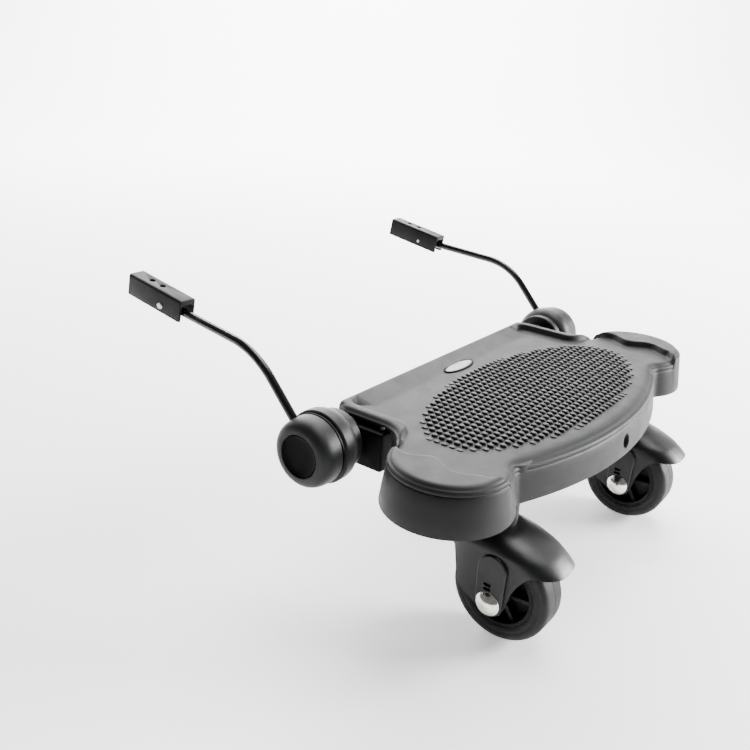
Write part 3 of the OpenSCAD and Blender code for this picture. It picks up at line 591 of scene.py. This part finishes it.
def deck_mesh():
    """The hollow platform: inner wall, lower edge, outer wall, rolled edge, ceiling and top."""
    share = REAR_SHARE[:, None]
    n = len(OUT_P)

    def at(front_d, rear_d):
        return OUT_P - OUT_N * (front_d * (1 - share) + rear_d * share)

    rings = []
    for (d0, z0), (d1, z1) in reversed(list(zip(INSIDE, INSIDE_REAR))):
        rings.append(np.c_[at(d0, d1), z0 * (1 - share) + z1 * share])
    rings.append(np.c_[at(0.25, 0.25), np.full(n, SKIRT_Z + 0.2)])
    rings.append(np.c_[at(0.05, 0.05), np.full(n, SKIRT_Z + 0.9)])
    front = FRONT_SHARE[:, None]
    for (d0, z0), (d1, z1), (d2, z2) in zip(EDGE, EDGE_REAR, EDGE_FRONT):
        xy = at(d0 * (1 - front) + d2 * front, d1)
        drop = (z0 * (1 - front) + z2 * front) * (1 - share) + z1 * share
        rings.append(np.c_[xy, top_z(xy)[:, None] - drop])
    foot = len(INSIDE) + 1
    between = [rings[foot] * (1 - t) + rings[foot + 1] * t for t in (0.35, 0.7)]
    rings[foot + 1:foot + 1] = between
    verts = [tuple(p) for ring in rings for p in ring]
    faces = skin_faces(len(rings), n)

    # Ceiling, from the first ring
    loop = [Vector(p[:2]) for p in rings[0]]
    edges = [(i, (i + 1) % n) for i in range(n)]
    ceiling = delaunay_2d_cdt(loop, edges, [], 1, 1e-6)
    base = len(verts)
    verts += [(p.x, p.y, CEILING_Z) for p in ceiling[0]]
    faces += [tuple(base + i for i in f) for f in ceiling[2]]

    # Top, from the last ring inward: close rows of points along the step, a grid elsewhere
    loop = rings[-1][:, :2]
    t = FIELD_NEXT - np.roll(FIELD, 1, axis=0)
    t /= np.linalg.norm(t, axis=1)[:, None]
    normal = np.c_[t[:, 1], -t[:, 0]]
    dense, dense_n = [], []
    for i in range(len(FIELD) - 1):
        gap = np.linalg.norm(FIELD[i + 1] - FIELD[i])
        for s in np.arange(0, gap, 1.9) / gap:
            dense.append(FIELD[i] * (1 - s) + FIELD[i + 1] * s)
            dense_n.append(normal[i] * (1 - s) + normal[i + 1] * s)
    dense, dense_n = np.array(dense), np.array(dense_n)
    across = (-3.8, -1.7, -1.15, -0.6, 0, 0.6, 1.15, 1.7, 3.8)
    rows = [dense + dense_n * d for d in across]
    gx, gy = np.meshgrid(np.arange(-198, 198.1, 6.0), np.arange(-36, 134, 6.0))
    grid = np.c_[gx.ravel(), gy.ravel()]
    depth = field_depth(grid)
    grid = grid[np.abs(depth) > 6.5]
    inner = np.vstack(rows + [grid])
    keep = [p for p in inner if inside_loop(p, loop) and np.abs(loop - p).sum(1).min() > 1.3
            and distance_to(p, loop) > 1.0]
    pts = [Vector(p) for p in loop] + [Vector(p) for p in keep]
    top = delaunay_2d_cdt(pts, edges, [], 1, 1e-6)
    xy = np.array([(p.x, p.y) for p in top[0]])
    z = top_z(xy)
    base = len(verts)
    verts += [(x, y, h) for (x, y), h in zip(xy, z)]
    faces += [tuple(base + i for i in f) for f in top[2]]
    return verts, faces


def inside_loop(p, loop):
    """Whether the point lies in the closed loop."""
    nxt = np.roll(loop, -1, axis=0)
    crosses = (loop[:, 1] > p[1]) != (nxt[:, 1] > p[1])
    with np.errstate(divide="ignore", invalid="ignore"):
        x = loop[:, 0] + (p[1] - loop[:, 1]) / (nxt[:, 1] - loop[:, 1]) * (nxt[:, 0] - loop[:, 0])
    return np.count_nonzero(crosses & (x > p[0])) % 2 == 1


def distance_to(p, loop):
    """Distance from the point to the closed loop."""
    nxt = np.roll(loop, -1, axis=0)
    edge = nxt - loop
    rel = p - loop
    t = np.clip((rel * edge).sum(1) / (edge ** 2).sum(1), 0, 1)
    return np.sqrt(((rel - edge * t[:, None]) ** 2).sum(1)).min()


def rear_wall_y(x, d):
    """Y of the rear curve at x, taken in by d."""
    return REAR_CY - math.sqrt((REAR_R - d) ** 2 - x * x)


deck = piece("deck", *deck_mesh(), "platform", "deck_grey", DECK, ["deck_shell"], sharp=32)
cuts = [tool_object(*turned(
    [(0, 0), (5.5, 0), (5.5, 20), (0, 20)],
    lambda u, v, h: (u, REAR_Y - 4 + h, SKIRT_Z + 10.5 + v), 48))]
for tag, s in SIDES:
    x0, x1 = sorted((s * 138.5, s * 160.0))
    cuts.append(tool_object(*box_points((x0, WAIST_Y - 13.5, SKIRT_Z - 2),
                                        (x1, FRONT_Y - 7.2, 139.6))))
carve(deck, cuts, sharp=32)

# Ribs and caster seats under the platform. The middle rib stays clear of the strap hole.
RIB_LOW, RIB_TOP, RIB_HALF = 117, 135.6, 1.2
parts = []
for x in (-72, -36, 0, 36, 72):
    if x:
        side = [(rear_wall_y(x, d), z) for d, z in
                ((3.4, RIB_LOW), (4.6, 126.3), (5.9, 130.2), (9.6, 134.0), (15.3, RIB_TOP))]
    else:
        side = [(REAR_Y + 24, RIB_LOW), (REAR_Y + 24, RIB_TOP)]
    side += [(FRONT_Y - d, z) for d, z in
             ((6.2, RIB_TOP), (5.7, 133.2), (5.0, 130), (3.5, RIB_LOW))]
    n = len(side)
    parts.append(([(x + w, y, z) for w in (-RIB_HALF, RIB_HALF) for y, z in side],
                  [tuple(range(n)), tuple(range(2 * n - 1, n - 1, -1))]
                  + [(i, (i + 1) % n, n + (i + 1) % n, n + i) for i in range(n)]))
for y in (-8, 26, 60):
    parts.append(box_points((-CASTER_X, y, RIB_LOW), (CASTER_X, y + 2 * RIB_HALF, RIB_TOP)))
ribs = piece("deck_ribs", *join_parts(parts), "platform", "deck_grey", DECK)
carve(ribs, [tool_object(*turned([(0, 0), (10, 0), (10, 300), (0, 300)],
                                 lambda u, v, h: (h - 150, HUB_Y + u, HUB_Z + v), 40))])
soften(ribs, 0.35, 1)
for tag, s in SIDES:
    seat = [(8.0, 88.6), (8.4, 88.3), (10.1, 88.3), (10.5, 88.7), (10.5, 112.0), (14.3, 112.0),
            (15, 112.7), (15, RIB_TOP), (8.0, RIB_TOP)]
    piece("caster_seat_" + tag, *turned(fillet(seat, 0.6, 3), on_axis_z(s * CASTER_X, 0, 0), 64),
          "platform", "deck_grey", DECK)


def grip_bumps():
    """One small bump on each crossing of a grid, lower towards the border of the oval."""
    pitch_x, pitch_y = 6.36, 6.15
    half_x, half_y = 132.5, 56.8
    bump_x, bump_y = 2.0, 2.5
    middle_y = FRONT_Y - 95.0
    # Each ring as (share of the width, share of the length, height)
    rings = [(1.0, 1.0, -0.3), (1.0, 1.0, 0.2), (0.97, 0.98, 0.95), (0.90, 0.93, 1.45),
             (0.76, 0.82, 1.76), (0.52, 0.60, 1.86)]
    count = 14
    shape = [(math.copysign(abs(math.cos(a)) ** 0.85, math.cos(a)),
              math.copysign(abs(math.sin(a)) ** 0.85, math.sin(a)))
             for a in (2 * math.pi * i / count for i in range(count))]
    faces = skin_faces(len(rings), count)
    faces.append(tuple((len(rings) - 1) * count + m for m in range(count)))
    faces.append(tuple(reversed(range(count))))
    bumps = []
    for i in range(-22, 23):
        for j in range(-10, 11):
            x, y = i * pitch_x, j * pitch_y
            reach = math.hypot(x / half_x, y / half_y)
            if reach > 1.035:
                continue
            grow = 1 + 0.03 * random.uniform(-1, 1)
            tall = 0.22 + 0.78 * float(smooth((1.045 - reach) / 0.085))
            bumps.append(([(x + bump_x * grow * sx * cx, middle_y + y + bump_y * grow * sy * cy,
                            FIELD_Z + z * tall) for sx, sy, z in rings for cx, cy in shape],
                          faces))
    return join_parts(bumps)


piece("grip_bumps", *grip_bumps(), "platform", "deck_grey", GRIP, sharp=60)


def badge_dome(half_x, half_y, steps):
    """An oval dome on the field, from (inset, height) steps."""
    middle_y, count = FRONT_Y - 22.5, 72
    angles = [2 * math.pi * i / count for i in range(count)]
    return loft([[((half_x - d) * math.cos(a), middle_y + (half_y - d) * math.sin(a), FIELD_Z + h)
                  for a in angles] for d, h in steps])


piece("badge_rim", *badge_dome(20.5, 7.5, ((0, -0.2), (0, 0.6), (0.2, 0.85), (0.5, 0.98),
                                           (1.9, 0.98), (2.15, 0.88), (2.2, 0.5))),
      "platform", "badge_dark", BADGE, ["badge_plate"])
piece("badge_face", *badge_dome(18.25, 5.25, ((0, 0.3), (0, 0.62), (0.2, 0.72), (0.6, 0.78),
                                              (2.0, 0.84), (4.2, 0.86))),
      "platform", "bare_steel", PLATE)


# ---------------------------------------------------------------- hubs

# Outlines as (radius, distance from the middle of the board)
BASE_PROFILE = [(5.2, 152.3), (21.4, 152.3), (22.4, 153.3)] + [
    tuple(p) for p in arc(15, 168.5, 12, -52, 0, 14)] + [
    (27, 174.0), (26.4, 174.9), (24.7, 175.2), (24.7, 176.0), (24, 176), (24, 165.3),
    (20.9, 165.3), (20.9, 156.3), (5.2, 156.3)]
CROWN = [(16.4 + 8.7 * (1 - ((h - 178.0) / 17.1) ** 4.2) ** 0.5, h)
         for h in list(np.linspace(178.0, 192.0, 10)) + [193.2, 194.0, 194.6, 194.95]]
CAP_PROFILE = [(5.1, 177.2), (24.4, 177.2)] + CROWN + [
    (16.1, 195.05), (15.6, 194.6), (15.5, 193.5), (15.5, 186.6), (8.5, 186.6), (8.5, 183.2),
    (5.1, 183.2)]
BUTTON_PROFILE = [(0, 190.95), (15.2, 190.95), (15.2, 193.2), (14.7, 193.8), (13.9, 193.9),
                  (13.2, 193.5), (12.4, 193.3), (7.0, 193.15), (0, 193.1)]

SPRING_WIDE, SPRING_NARROW, SPRING_WIRE, SPRING_TURNS, SPRING_CLOSES = 6.7, 3.1, 0.25, 3, 4.05

for tag, s in SIDES:
    out = on_axis_x(0, HUB_Y, HUB_Z, s)
    piece("hub_base_body_" + tag, *turned(fillet(BASE_PROFILE, 0.5, 3), out, 120), "platform",
          "hub_grey", HUB, ["hub_base_" + tag])
    piece("hub_cap_body_" + tag, *turned(CAP_PROFILE, out, 120), "arm_" + tag, "hub_grey", HUB,
          ["hub_cap_" + tag])
    prongs = []
    for a in (60, 180, 300):
        turn = math.radians(ROD_DEG - 90 + a)
        px, py = -12 * math.cos(turn), -12 * math.sin(turn)
        prongs.append(turned([(0, 165.5), (2, 165.5), (2, 191.3), (0, 191.3)],
                             moved(out, -py, px), 20))
    button = turned(BUTTON_PROFILE, out, 96)
    piece("hub_button_disc_" + tag, *join_parts([button] + prongs), "button_" + tag, "button_dark",
          BUTTON, ["hub_button_" + tag])

    # Conical coil between the bolt's head and the disc
    ends = sorted(abs(c[0]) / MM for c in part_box("button_spring_" + tag))
    inner, outer = ends[0] + 0.05, ends[1] - 0.02
    coil = []
    for a in np.linspace(0, 2 * math.pi * SPRING_TURNS, 20 * SPRING_TURNS + 1):
        middle, h = np.array([math.cos(a), math.sin(a)]), a / (2 * math.pi * SPRING_TURNS)
        along = inner + SPRING_WIRE + (outer - inner - 2 * SPRING_WIRE) * h
        wide = SPRING_WIDE + (SPRING_NARROW - SPRING_WIDE) * h
        coil.append([out(*(middle * (wide + SPRING_WIRE * math.cos(b))),
                         along + SPRING_WIRE * math.sin(b))
                     for b in (2 * math.pi * k / 8 for k in range(8))])
    spring = piece("button_coil_" + tag, *loft(coil), "platform", "bare_steel", STEEL,
                   ["button_spring_" + tag])
    to_frame([out(0, 0, inner)])[0]
    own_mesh(spring)

    # Bracket that carries the tube and the fixed half of the hub, with its collar, in a darker copy
    # of the black plastic that paints in the shade under the platform
    side = fillet([(HUB_Y - 34, 105.5), (HUB_Y + 11, 105.5), (HUB_Y + 11, 131),
                   (HUB_Y + 7, 134.9), (HUB_Y - 34, 134.9)], 2.0, 4)
    piece("bracket_" + tag, *slab(side, 104.0, 147.0, 1.5, lambda u, v, h: (s * h, u, v), 1.0),
          "platform", "black_plastic", SHADED, ["hub_bracket_" + tag])
    collar = turned(fillet([(9.1, 144.0), (15.5, 144.0), (15.5, 150.6), (14.6, 152.25),
                            (9.1, 152.25)], 0.6, 3), out, 72)
    piece("bracket_collar_" + tag, *collar, "platform", "black_plastic", SHADED)


# ---------------------------------------------------------------- arms

def rod_path(s):
    """Middle line of a rod: straight out of the hub, round one bend, straight to the connector."""
    leg = np.array([0, math.cos(ROD_ANGLE), math.sin(ROD_ANGLE)])
    start = np.array([ROD_X, HUB_Y, HUB_Z])
    corner = start + leg * ROD_LEG
    reach = LINK_AT - corner
    length = np.linalg.norm(reach)
    reach = reach / length
    turn = math.acos(leg @ reach)
    take = BEND_R * math.tan(turn / 2)
    path = [start + leg * d for d in np.linspace(16, ROD_LEG - take, 6)]
    inward = np.cross(np.cross(leg, reach), leg)
    inward /= np.linalg.norm(inward)
    centre = corner - leg * take + inward * BEND_R
    for a in np.linspace(0, turn, 22)[1:-1]:
        path.append(centre - inward * BEND_R * math.cos(a) + leg * BEND_R * math.sin(a))
    path += [corner + reach * d for d in np.linspace(take, length + 4.2, 10)]
    return [p * [s, 1, 1] for p in path]


def swept(path, radius, count=28):
    """A round bar along the path, with rounded ends."""
    path = [np.array(p, float) for p in path]
    rings = []
    up = np.array([1.0, 0, 0])
    for i, p in enumerate(path):
        t = path[min(i + 1, len(path) - 1)] - path[max(i - 1, 0)]
        t /= np.linalg.norm(t)
        side = up - t * (up @ t)
        side /= np.linalg.norm(side)
        other = np.cross(t, side)
        caps = [(p, radius)]
        if i == 0:
            caps = [(p + t * 0.2, radius - 0.5), (p + t * 0.5, radius)]
        if i == len(path) - 1:
            caps = [(p, radius), (p + t * 0.5, radius - 0.18), (p + t * 0.8, radius - 0.6)]
        for q, r in caps:
            rings.append([tuple(q + r * (side * math.cos(a) + other * math.sin(a)))
                          for a in (2 * math.pi * k / count for k in range(count))])
    return loft(rings)


def on_link(s):
    """Local X, Y along the connector and Z up from it, about the pin."""
    c, n = math.cos(LINK_TILT), math.sin(LINK_TILT)
    return lambda x, y, z: (s * (LINK_AT[0] + x), LINK_AT[1] + y * c - z * n,
                            LINK_AT[2] + y * n + z * c)


def arched(half_w, low, high, corner):
    """A section that is square below and rounded above."""
    pts = [(-half_w, low), (half_w, low)]
    pts += [tuple(p) for p in arc(half_w - corner, high - corner, corner, 0, 90, 6)]
    pts += [tuple(p) for p in arc(corner - half_w, high - corner, corner, 90, 180, 6)]
    return pts


for tag, s in SIDES:
    piece("rod_" + tag, *swept(rod_path(s), ROD_R), "arm_" + tag, "rod_black", ROD,
          ["arm_rod_" + tag])
    at = on_link(s)
    shell = slab(arched(7.5, -5, 12, 2.0), -38, 22, 0.7, lambda u, v, h: at(u, -h, v), 0.7)
    plug = piece("connector_body_" + tag, *shell, "link_" + tag, "black_plastic", BLACK,
                 ["connector_" + tag])
    tools = [tool_object(*loft([[at(u, -h, v) for u, v in arched(w / 2, -6, 8.0, 2.5)]
                                for w, h in ((8.5, -9), (8.5, 0), (11.12, 23))]))]
    for y in (7, 19):
        tools.append(tool_object(*turned([(0, 7.5), (2.5, 7.5), (2.5, 14), (0, 14)],
                                         moved(at, 0, y), 28)))
    carve(plug, tools)
    soften(plug, 0.35, 2)


# ---------------------------------------------------------------- casters

HOOD_HALF, HOOD_REACH, HOOD_RIM, HOOD_T = 24.7, 44.0, 66.0, 3.5
CROWN_R, CROWN_Z, CROWN_ROUND = 25.0, 86.0, 6.0
SHELF_Z, FORK_FACE = 78.5, 27.5
RING_N = 144


def ring(half_x, half_y, e):
    """Superellipse: round for e = 2 and squarer for more."""
    out = []
    for i in range(RING_N):
        a = 2 * math.pi * i / RING_N
        c, n = math.cos(a), math.sin(a)
        out.append((half_x * math.copysign(abs(c) ** (2 / e), c),
                    half_y * math.copysign(abs(n) ** (2 / e), n)))
    return np.array(out)


def hood_section(z, grow=0.0):
    """The hood's outline at a height, as points round the caster axis, taken in by -grow."""
    t = max(0.0, min(1.0, (z - HOOD_RIM) / (CROWN_Z - HOOD_RIM)))
    w = HOOD_HALF + (1.6 * t if t < 0.5 else 1.6 * t - 6.6 * (t - 0.5) ** 2)
    reach = HOOD_REACH + (CROWN_R - HOOD_REACH) * t ** 1.5
    neck = 1 - 0.17 * float(smooth((z - 74) / 12))
    return ring((w + grow) * neck, (reach + grow) * neck, 3 - t) + [0, AXLE_Y * (1 - t)]


def bezier(a, b, c, n):
    """n + 1 points on the curve from a to c that b pulls aside."""
    a, b, c = map(np.array, (a, b, c))
    return [tuple(a * (1 - t) ** 2 + b * 2 * t * (1 - t) + c * t * t)
            for t in np.linspace(0, 1, n + 1)]


LEG_EDGE = np.array(
    bezier((AXLE_Y - 27, HOOD_RIM), (AXLE_Y - 14, 56), (AXLE_Y - 11, AXLE_Z - 3), 14)
    + [tuple(p) for p in arc(AXLE_Y, AXLE_Z, 11.4, 200, 300, 12)]
    + bezier((AXLE_Y + 26, AXLE_Z), (AXLE_Y + 40, 50), (AXLE_Y + 40.5, HOOD_RIM), 14))


def leg_floor(y):
    """Height of the lower edge of the fork over a point of its side."""
    order = np.argsort(LEG_EDGE[:, 0], kind="stable")
    return float(np.interp(y, LEG_EDGE[order, 0], LEG_EDGE[order, 1],
                           left=HOOD_RIM, right=HOOD_RIM))


def hood_mesh(place):
    """The hood and its two legs: inner skin, rounded lower edge, outer skin and crown."""
    floor = []
    for x, y in hood_section(HOOD_RIM):
        on_leg = smooth((abs(x) / HOOD_HALF - 0.80) / 0.12)
        floor.append(HOOD_RIM + (leg_floor(y) - HOOD_RIM) * on_leg)
    floor = np.array(floor)
    sections = {}

    def row(heights, grow):
        out = []
        for i, z in enumerate(heights):
            key = (round(z, 2), grow)
            if key not in sections:
                sections[key] = hood_section(z, grow)
            out.append((*sections[key][i], z))
        return out

    rings = []
    for t in np.linspace(0, 1, 14):
        grow = -HOOD_T - 1.2 * (1 - t) * 3
        rings.append(row(SHELF_Z * (1 - t) + (floor + 0.8) * t, round(grow, 3)))
    rings.append(row(floor + 0.15, -HOOD_T + 0.7))
    rings.append(row(floor, -HOOD_T / 2))
    rings.append(row(floor + 0.15, -0.7))
    for t in np.linspace(0, 1, 26) ** 0.9:
        rings.append(row((floor + 0.8) * (1 - t) + (CROWN_Z - CROWN_ROUND) * t, 0.0))
    for a in np.linspace(0, math.pi / 2, 9)[1:]:
        d = 8.0 * (1 - math.cos(a)) / CROWN_R
        z = CROWN_Z - CROWN_ROUND * (1 - math.sin(a))
        rings.append([(x * (1 - d), y * (1 - d), z) for x, y in hood_section(z)])
    rings.append([(x * 0.35, y * 0.35, CROWN_Z) for x, y, _ in rings[-1]])
    return loft([[place(*p) for p in r] for r in rings])


def spun(place, angle):
    """Local u and h turned by angle about the axis of place, with v along that axis."""
    c, n = math.cos(angle), math.sin(angle)
    return lambda u, v, h: place(u * c - h * n, u * n + h * c, v)


def leg_rib_outline():
    """The raised pad on each side of a fork, in (Y, Z)."""
    r = 11.0
    low = arc(AXLE_Y, AXLE_Z, r - 1, 180, 360, 24)
    top = arc(AXLE_Y, HOOD_RIM + 8 - r, r, 0, 180, 24)
    return np.vstack([low, top])


for tag, s in SIDES:
    at = on_axis_z(s * CASTER_X, 0, 0)
    body = "caster_" + tag
    piece("fork_hood_" + tag, *hood_mesh(at), body, "fork_black", FORK, ["fork_" + tag], sharp=50)
    for name, way in (("a", -1), ("b", 1)):
        def outward(u, v, h):
            return at(way * h, u, v)

        rib = piece("fork_rib_" + name + "_" + tag,
                    *slab(leg_rib_outline(), 20.7, FORK_FACE, 1.1, outward),
                    body, "fork_black", FORK)
        slots = []
        for z in (46.6, 50.0):
            y0, y1, top = AXLE_Y - 0.9, AXLE_Y + 4.6, z + 2.5
            outline = fillet([(y0, z), (y1, z), (y1, top), (y0, top)], 0.7, 3)
            slots.append(tool_object(*slab(outline, 25.2, 30, 0.01, outward)))
        carve(rib, slots, sharp=50)
        boss = turned([(4.05, 13.6), (6.6, 13.6), (7.0, 14.0), (7.0, 21.5), (4.05, 21.5)],
                      on_axis_x(s * CASTER_X, AXLE_Y, AXLE_Z, way), 40)
        piece("fork_boss_" + name + "_" + tag, *boss, body, "fork_black", FORK)

    # Bolt with a domed head, always on the same side, and its nut
    dome, head_r, face = 5.2, 9.0, FORK_FACE
    dome_r = (head_r ** 2 + dome ** 2) / (2 * dome)
    edge_a = math.degrees(math.acos((dome_r - dome) / dome_r))
    head = [(0, face), (head_r - 0.3, face), (head_r, face + 0.3)] + [
        (x, face + y) for x, y in arc(0, dome - dome_r, dome_r, 90 - edge_a + 3, 90, 16)]
    head[-1] = (0, head[-1][1])
    shank = [(0, -33.4), (3.6, -33.4), (4.0, -33.0), (4.0, face + 0.2), (0, face + 0.2)]
    out = on_axis_x(s * CASTER_X, AXLE_Y, AXLE_Z, -1)
    piece("bolt_" + tag, *join_parts([turned(head, out, 64), turned(shank, out, 40)]), body,
          "nickel", NICKEL, ["axle_bolt_" + tag])
    back = on_axis_x(s * CASTER_X, AXLE_Y, AXLE_Z, 1)
    washer = turned(fillet([(4.1, face), (8.5, face), (8.5, face + 1), (4.1, face + 1)], 0.25, 2),
                    back, 48)
    hexagon = []
    for d, h in ((0, 28.4), (0, 32.4), (0.5, 32.8), (1.4, 33.0), (2.4, 32.6)):
        r = 7.0 - d
        hexagon.append([back(r * math.cos(math.pi * k / 3), r * math.sin(math.pi * k / 3), h)
                        for k in range(6)])
    piece("nut_" + tag, *join_parts([washer, loft(hexagon)]), body, "nickel", NICKEL,
          ["axle_nut_" + tag])

    # Wheel
    wheel = "wheel_" + tag
    half = 13.3
    crown = [(36.96, 0.25), (37.0, 2.0), (36.97, 6.0)] + [
        (x, y) for x, y in arc(31.8, half - 5.2, 5.2, 10, 84, 10)]
    side_in = [(31.0, half), (30.4, half - 0.35), (29.6, half - 0.35), (28.9, half),
               (27.5, half - 0.1), (26.05, half - 1.2)]
    right_half = crown + side_in
    tread = [(r, -h) for r, h in right_half[::-1]] + [(36.75, 0.0)] + right_half
    piece("tyre_body_" + tag, *turned(tread, back, 144), wheel, "tyre_dark", TYRE,
          ["tyre_" + tag], sharp=35)
    h2 = half - 1.25
    rim = fillet([(23.2, -h2), (25.9, -h2), (25.9, h2), (23.2, h2), (22.6, h2 - 3), (22.6, 3.0),
                  (21.8, 1.6), (21.8, -1.6), (22.6, -3.0), (22.6, -h2 + 3)], 0.5, 3)
    nave = fillet([(6.05, -h2), (8.6, -h2), (9.2, -h2 + 4), (9.6, -1.6), (22.6, -1.5),
                   (22.6, 1.5), (9.6, 1.6), (9.2, h2 - 4), (8.6, h2), (6.05, h2)], 0.6, 3)
    spoke = fillet([(8.2, -h2 + 2), (23.0, -h2 + 3.2), (23.0, h2 - 3.2), (8.2, h2 - 2)], 0.5, 2)
    spokes = [slab(spoke, -1.6, 1.6, 0.5, spun(back, math.pi / 3 * k), 0.5) for k in range(6)]
    piece("wheel_body_" + tag,
          *join_parts([turned(rim, back, 96), turned(nave, back, 96)] + spokes),
          wheel, "wheel_dark", CORE, ["wheel_core_" + tag])


# ---------------------------------------------------------------- stage, light and camera

# Lengths from here on are metres in the shared frame.

def studio_floor():
    """A pale floor that bends up into a wall behind the board, as the camera looks at it."""
    flat, bend, half_w, below = 2.6, 1.2, 5.0, 0.0002
    profile = [(-4.0, 0.0), (flat, 0.0)] + [
        (flat + bend * math.sin(a), bend - bend * math.cos(a))
        for a in np.linspace(0, math.pi / 2, 14)[1:]]
    profile.append((flat + bend, 5.0))
    view = math.radians(-53.8)
    across = (math.cos(view), math.sin(view))
    along = (-math.sin(view), math.cos(view))
    verts = [(across[0] * w + along[0] * d, across[1] * w + along[1] * d, z - below)
             for w in (-half_w, half_w) for d, z in profile]
    n = len(profile)
    mesh = bpy.data.meshes.new("studio_floor")
    mesh.from_pydata(verts, [], [(k, k + 1, n + k + 1, n + k) for k in range(n - 1)])
    mesh.shade_smooth()
    obj = add_object("studio_floor", mesh)
    mat, nodes, links, bsdf = shade("studio_white", 0.6, specular=0.2)
    cloudy = noise(nodes, links, 1.5, 2.0)
    links.new(spread(nodes, links, cloudy, (0.86, 0.86, 0.86), (0.88, 0.88, 0.88)),
              bsdf.inputs["Base Color"])
    bsdf.inputs["Emission Color"].default_value = (1, 1, 1, 1)
    bsdf.inputs["Emission Strength"].default_value = 0.55
    mesh.materials.append(mat)


studio_floor()


def softbox(name, at, target, size, power):
    light = bpy.data.lights.new(name, "AREA")
    light.shape = "RECTANGLE"
    light.size, light.size_y = size
    light.energy = power
    obj = add_object(name, light)
    obj.location = at
    way = Vector(target) - Vector(at)
    obj.rotation_euler = way.to_track_quat("-Z", "Y").to_euler()


MIDDLE = (0.0, -0.02, 0.1)
softbox("key_right", (1.5, -1.5, 0.75), MIDDLE, (0.9, 0.8), 178)
softbox("top", (0.5, -0.2, 2.0), MIDDLE, (1.2, 1.2), 56)
softbox("back_rim", (0.2, 2.0, 1.3), MIDDLE, (1.4, 0.8), 22)
softbox("backdrop", (1.6, 1.4, 2.6), (3.0, 2.2, 0.6), (3.0, 1.0), 700)

world = bpy.data.worlds.new("studio")
bpy.context.scene.world = world
world.use_nodes = True
world.node_tree.nodes["Background"].inputs["Color"].default_value = (1, 1, 1, 1)
world.node_tree.nodes["Background"].inputs["Strength"].default_value = 0.21

# Camera of the photograph: angles in radians, place in metres, focal length in pixels
AZIMUTH, ELEVATION, ROLL = -0.9387928557868768, 0.37646309987755666, 0.058369696593933665
EYE = (-0.5742211605, -0.3507636355, 0.3868889477)
FOCAL_PX = 841.1810973563869
FRAME_PX = 750
SENSOR_MM = 36
ahead = Vector((-math.sin(AZIMUTH) * math.cos(ELEVATION), math.cos(AZIMUTH) * math.cos(ELEVATION),
                -math.sin(ELEVATION)))
level = Vector((math.cos(AZIMUTH), math.sin(AZIMUTH), 0))
upright = level.cross(ahead)
right = level * math.cos(ROLL) + upright * math.sin(ROLL)
up = -level * math.sin(ROLL) + upright * math.cos(ROLL)
camera = bpy.data.cameras.new("camera")
camera.sensor_width = SENSOR_MM
camera.sensor_fit = "HORIZONTAL"
camera.lens = FOCAL_PX / FRAME_PX * SENSOR_MM
camera.clip_start = 0.01
eye = add_object("camera", camera)
eye.matrix_world = Matrix.Translation(EYE) @ Matrix((right, up, -ahead)).transposed().to_4x4()
bpy.context.scene.camera = eye
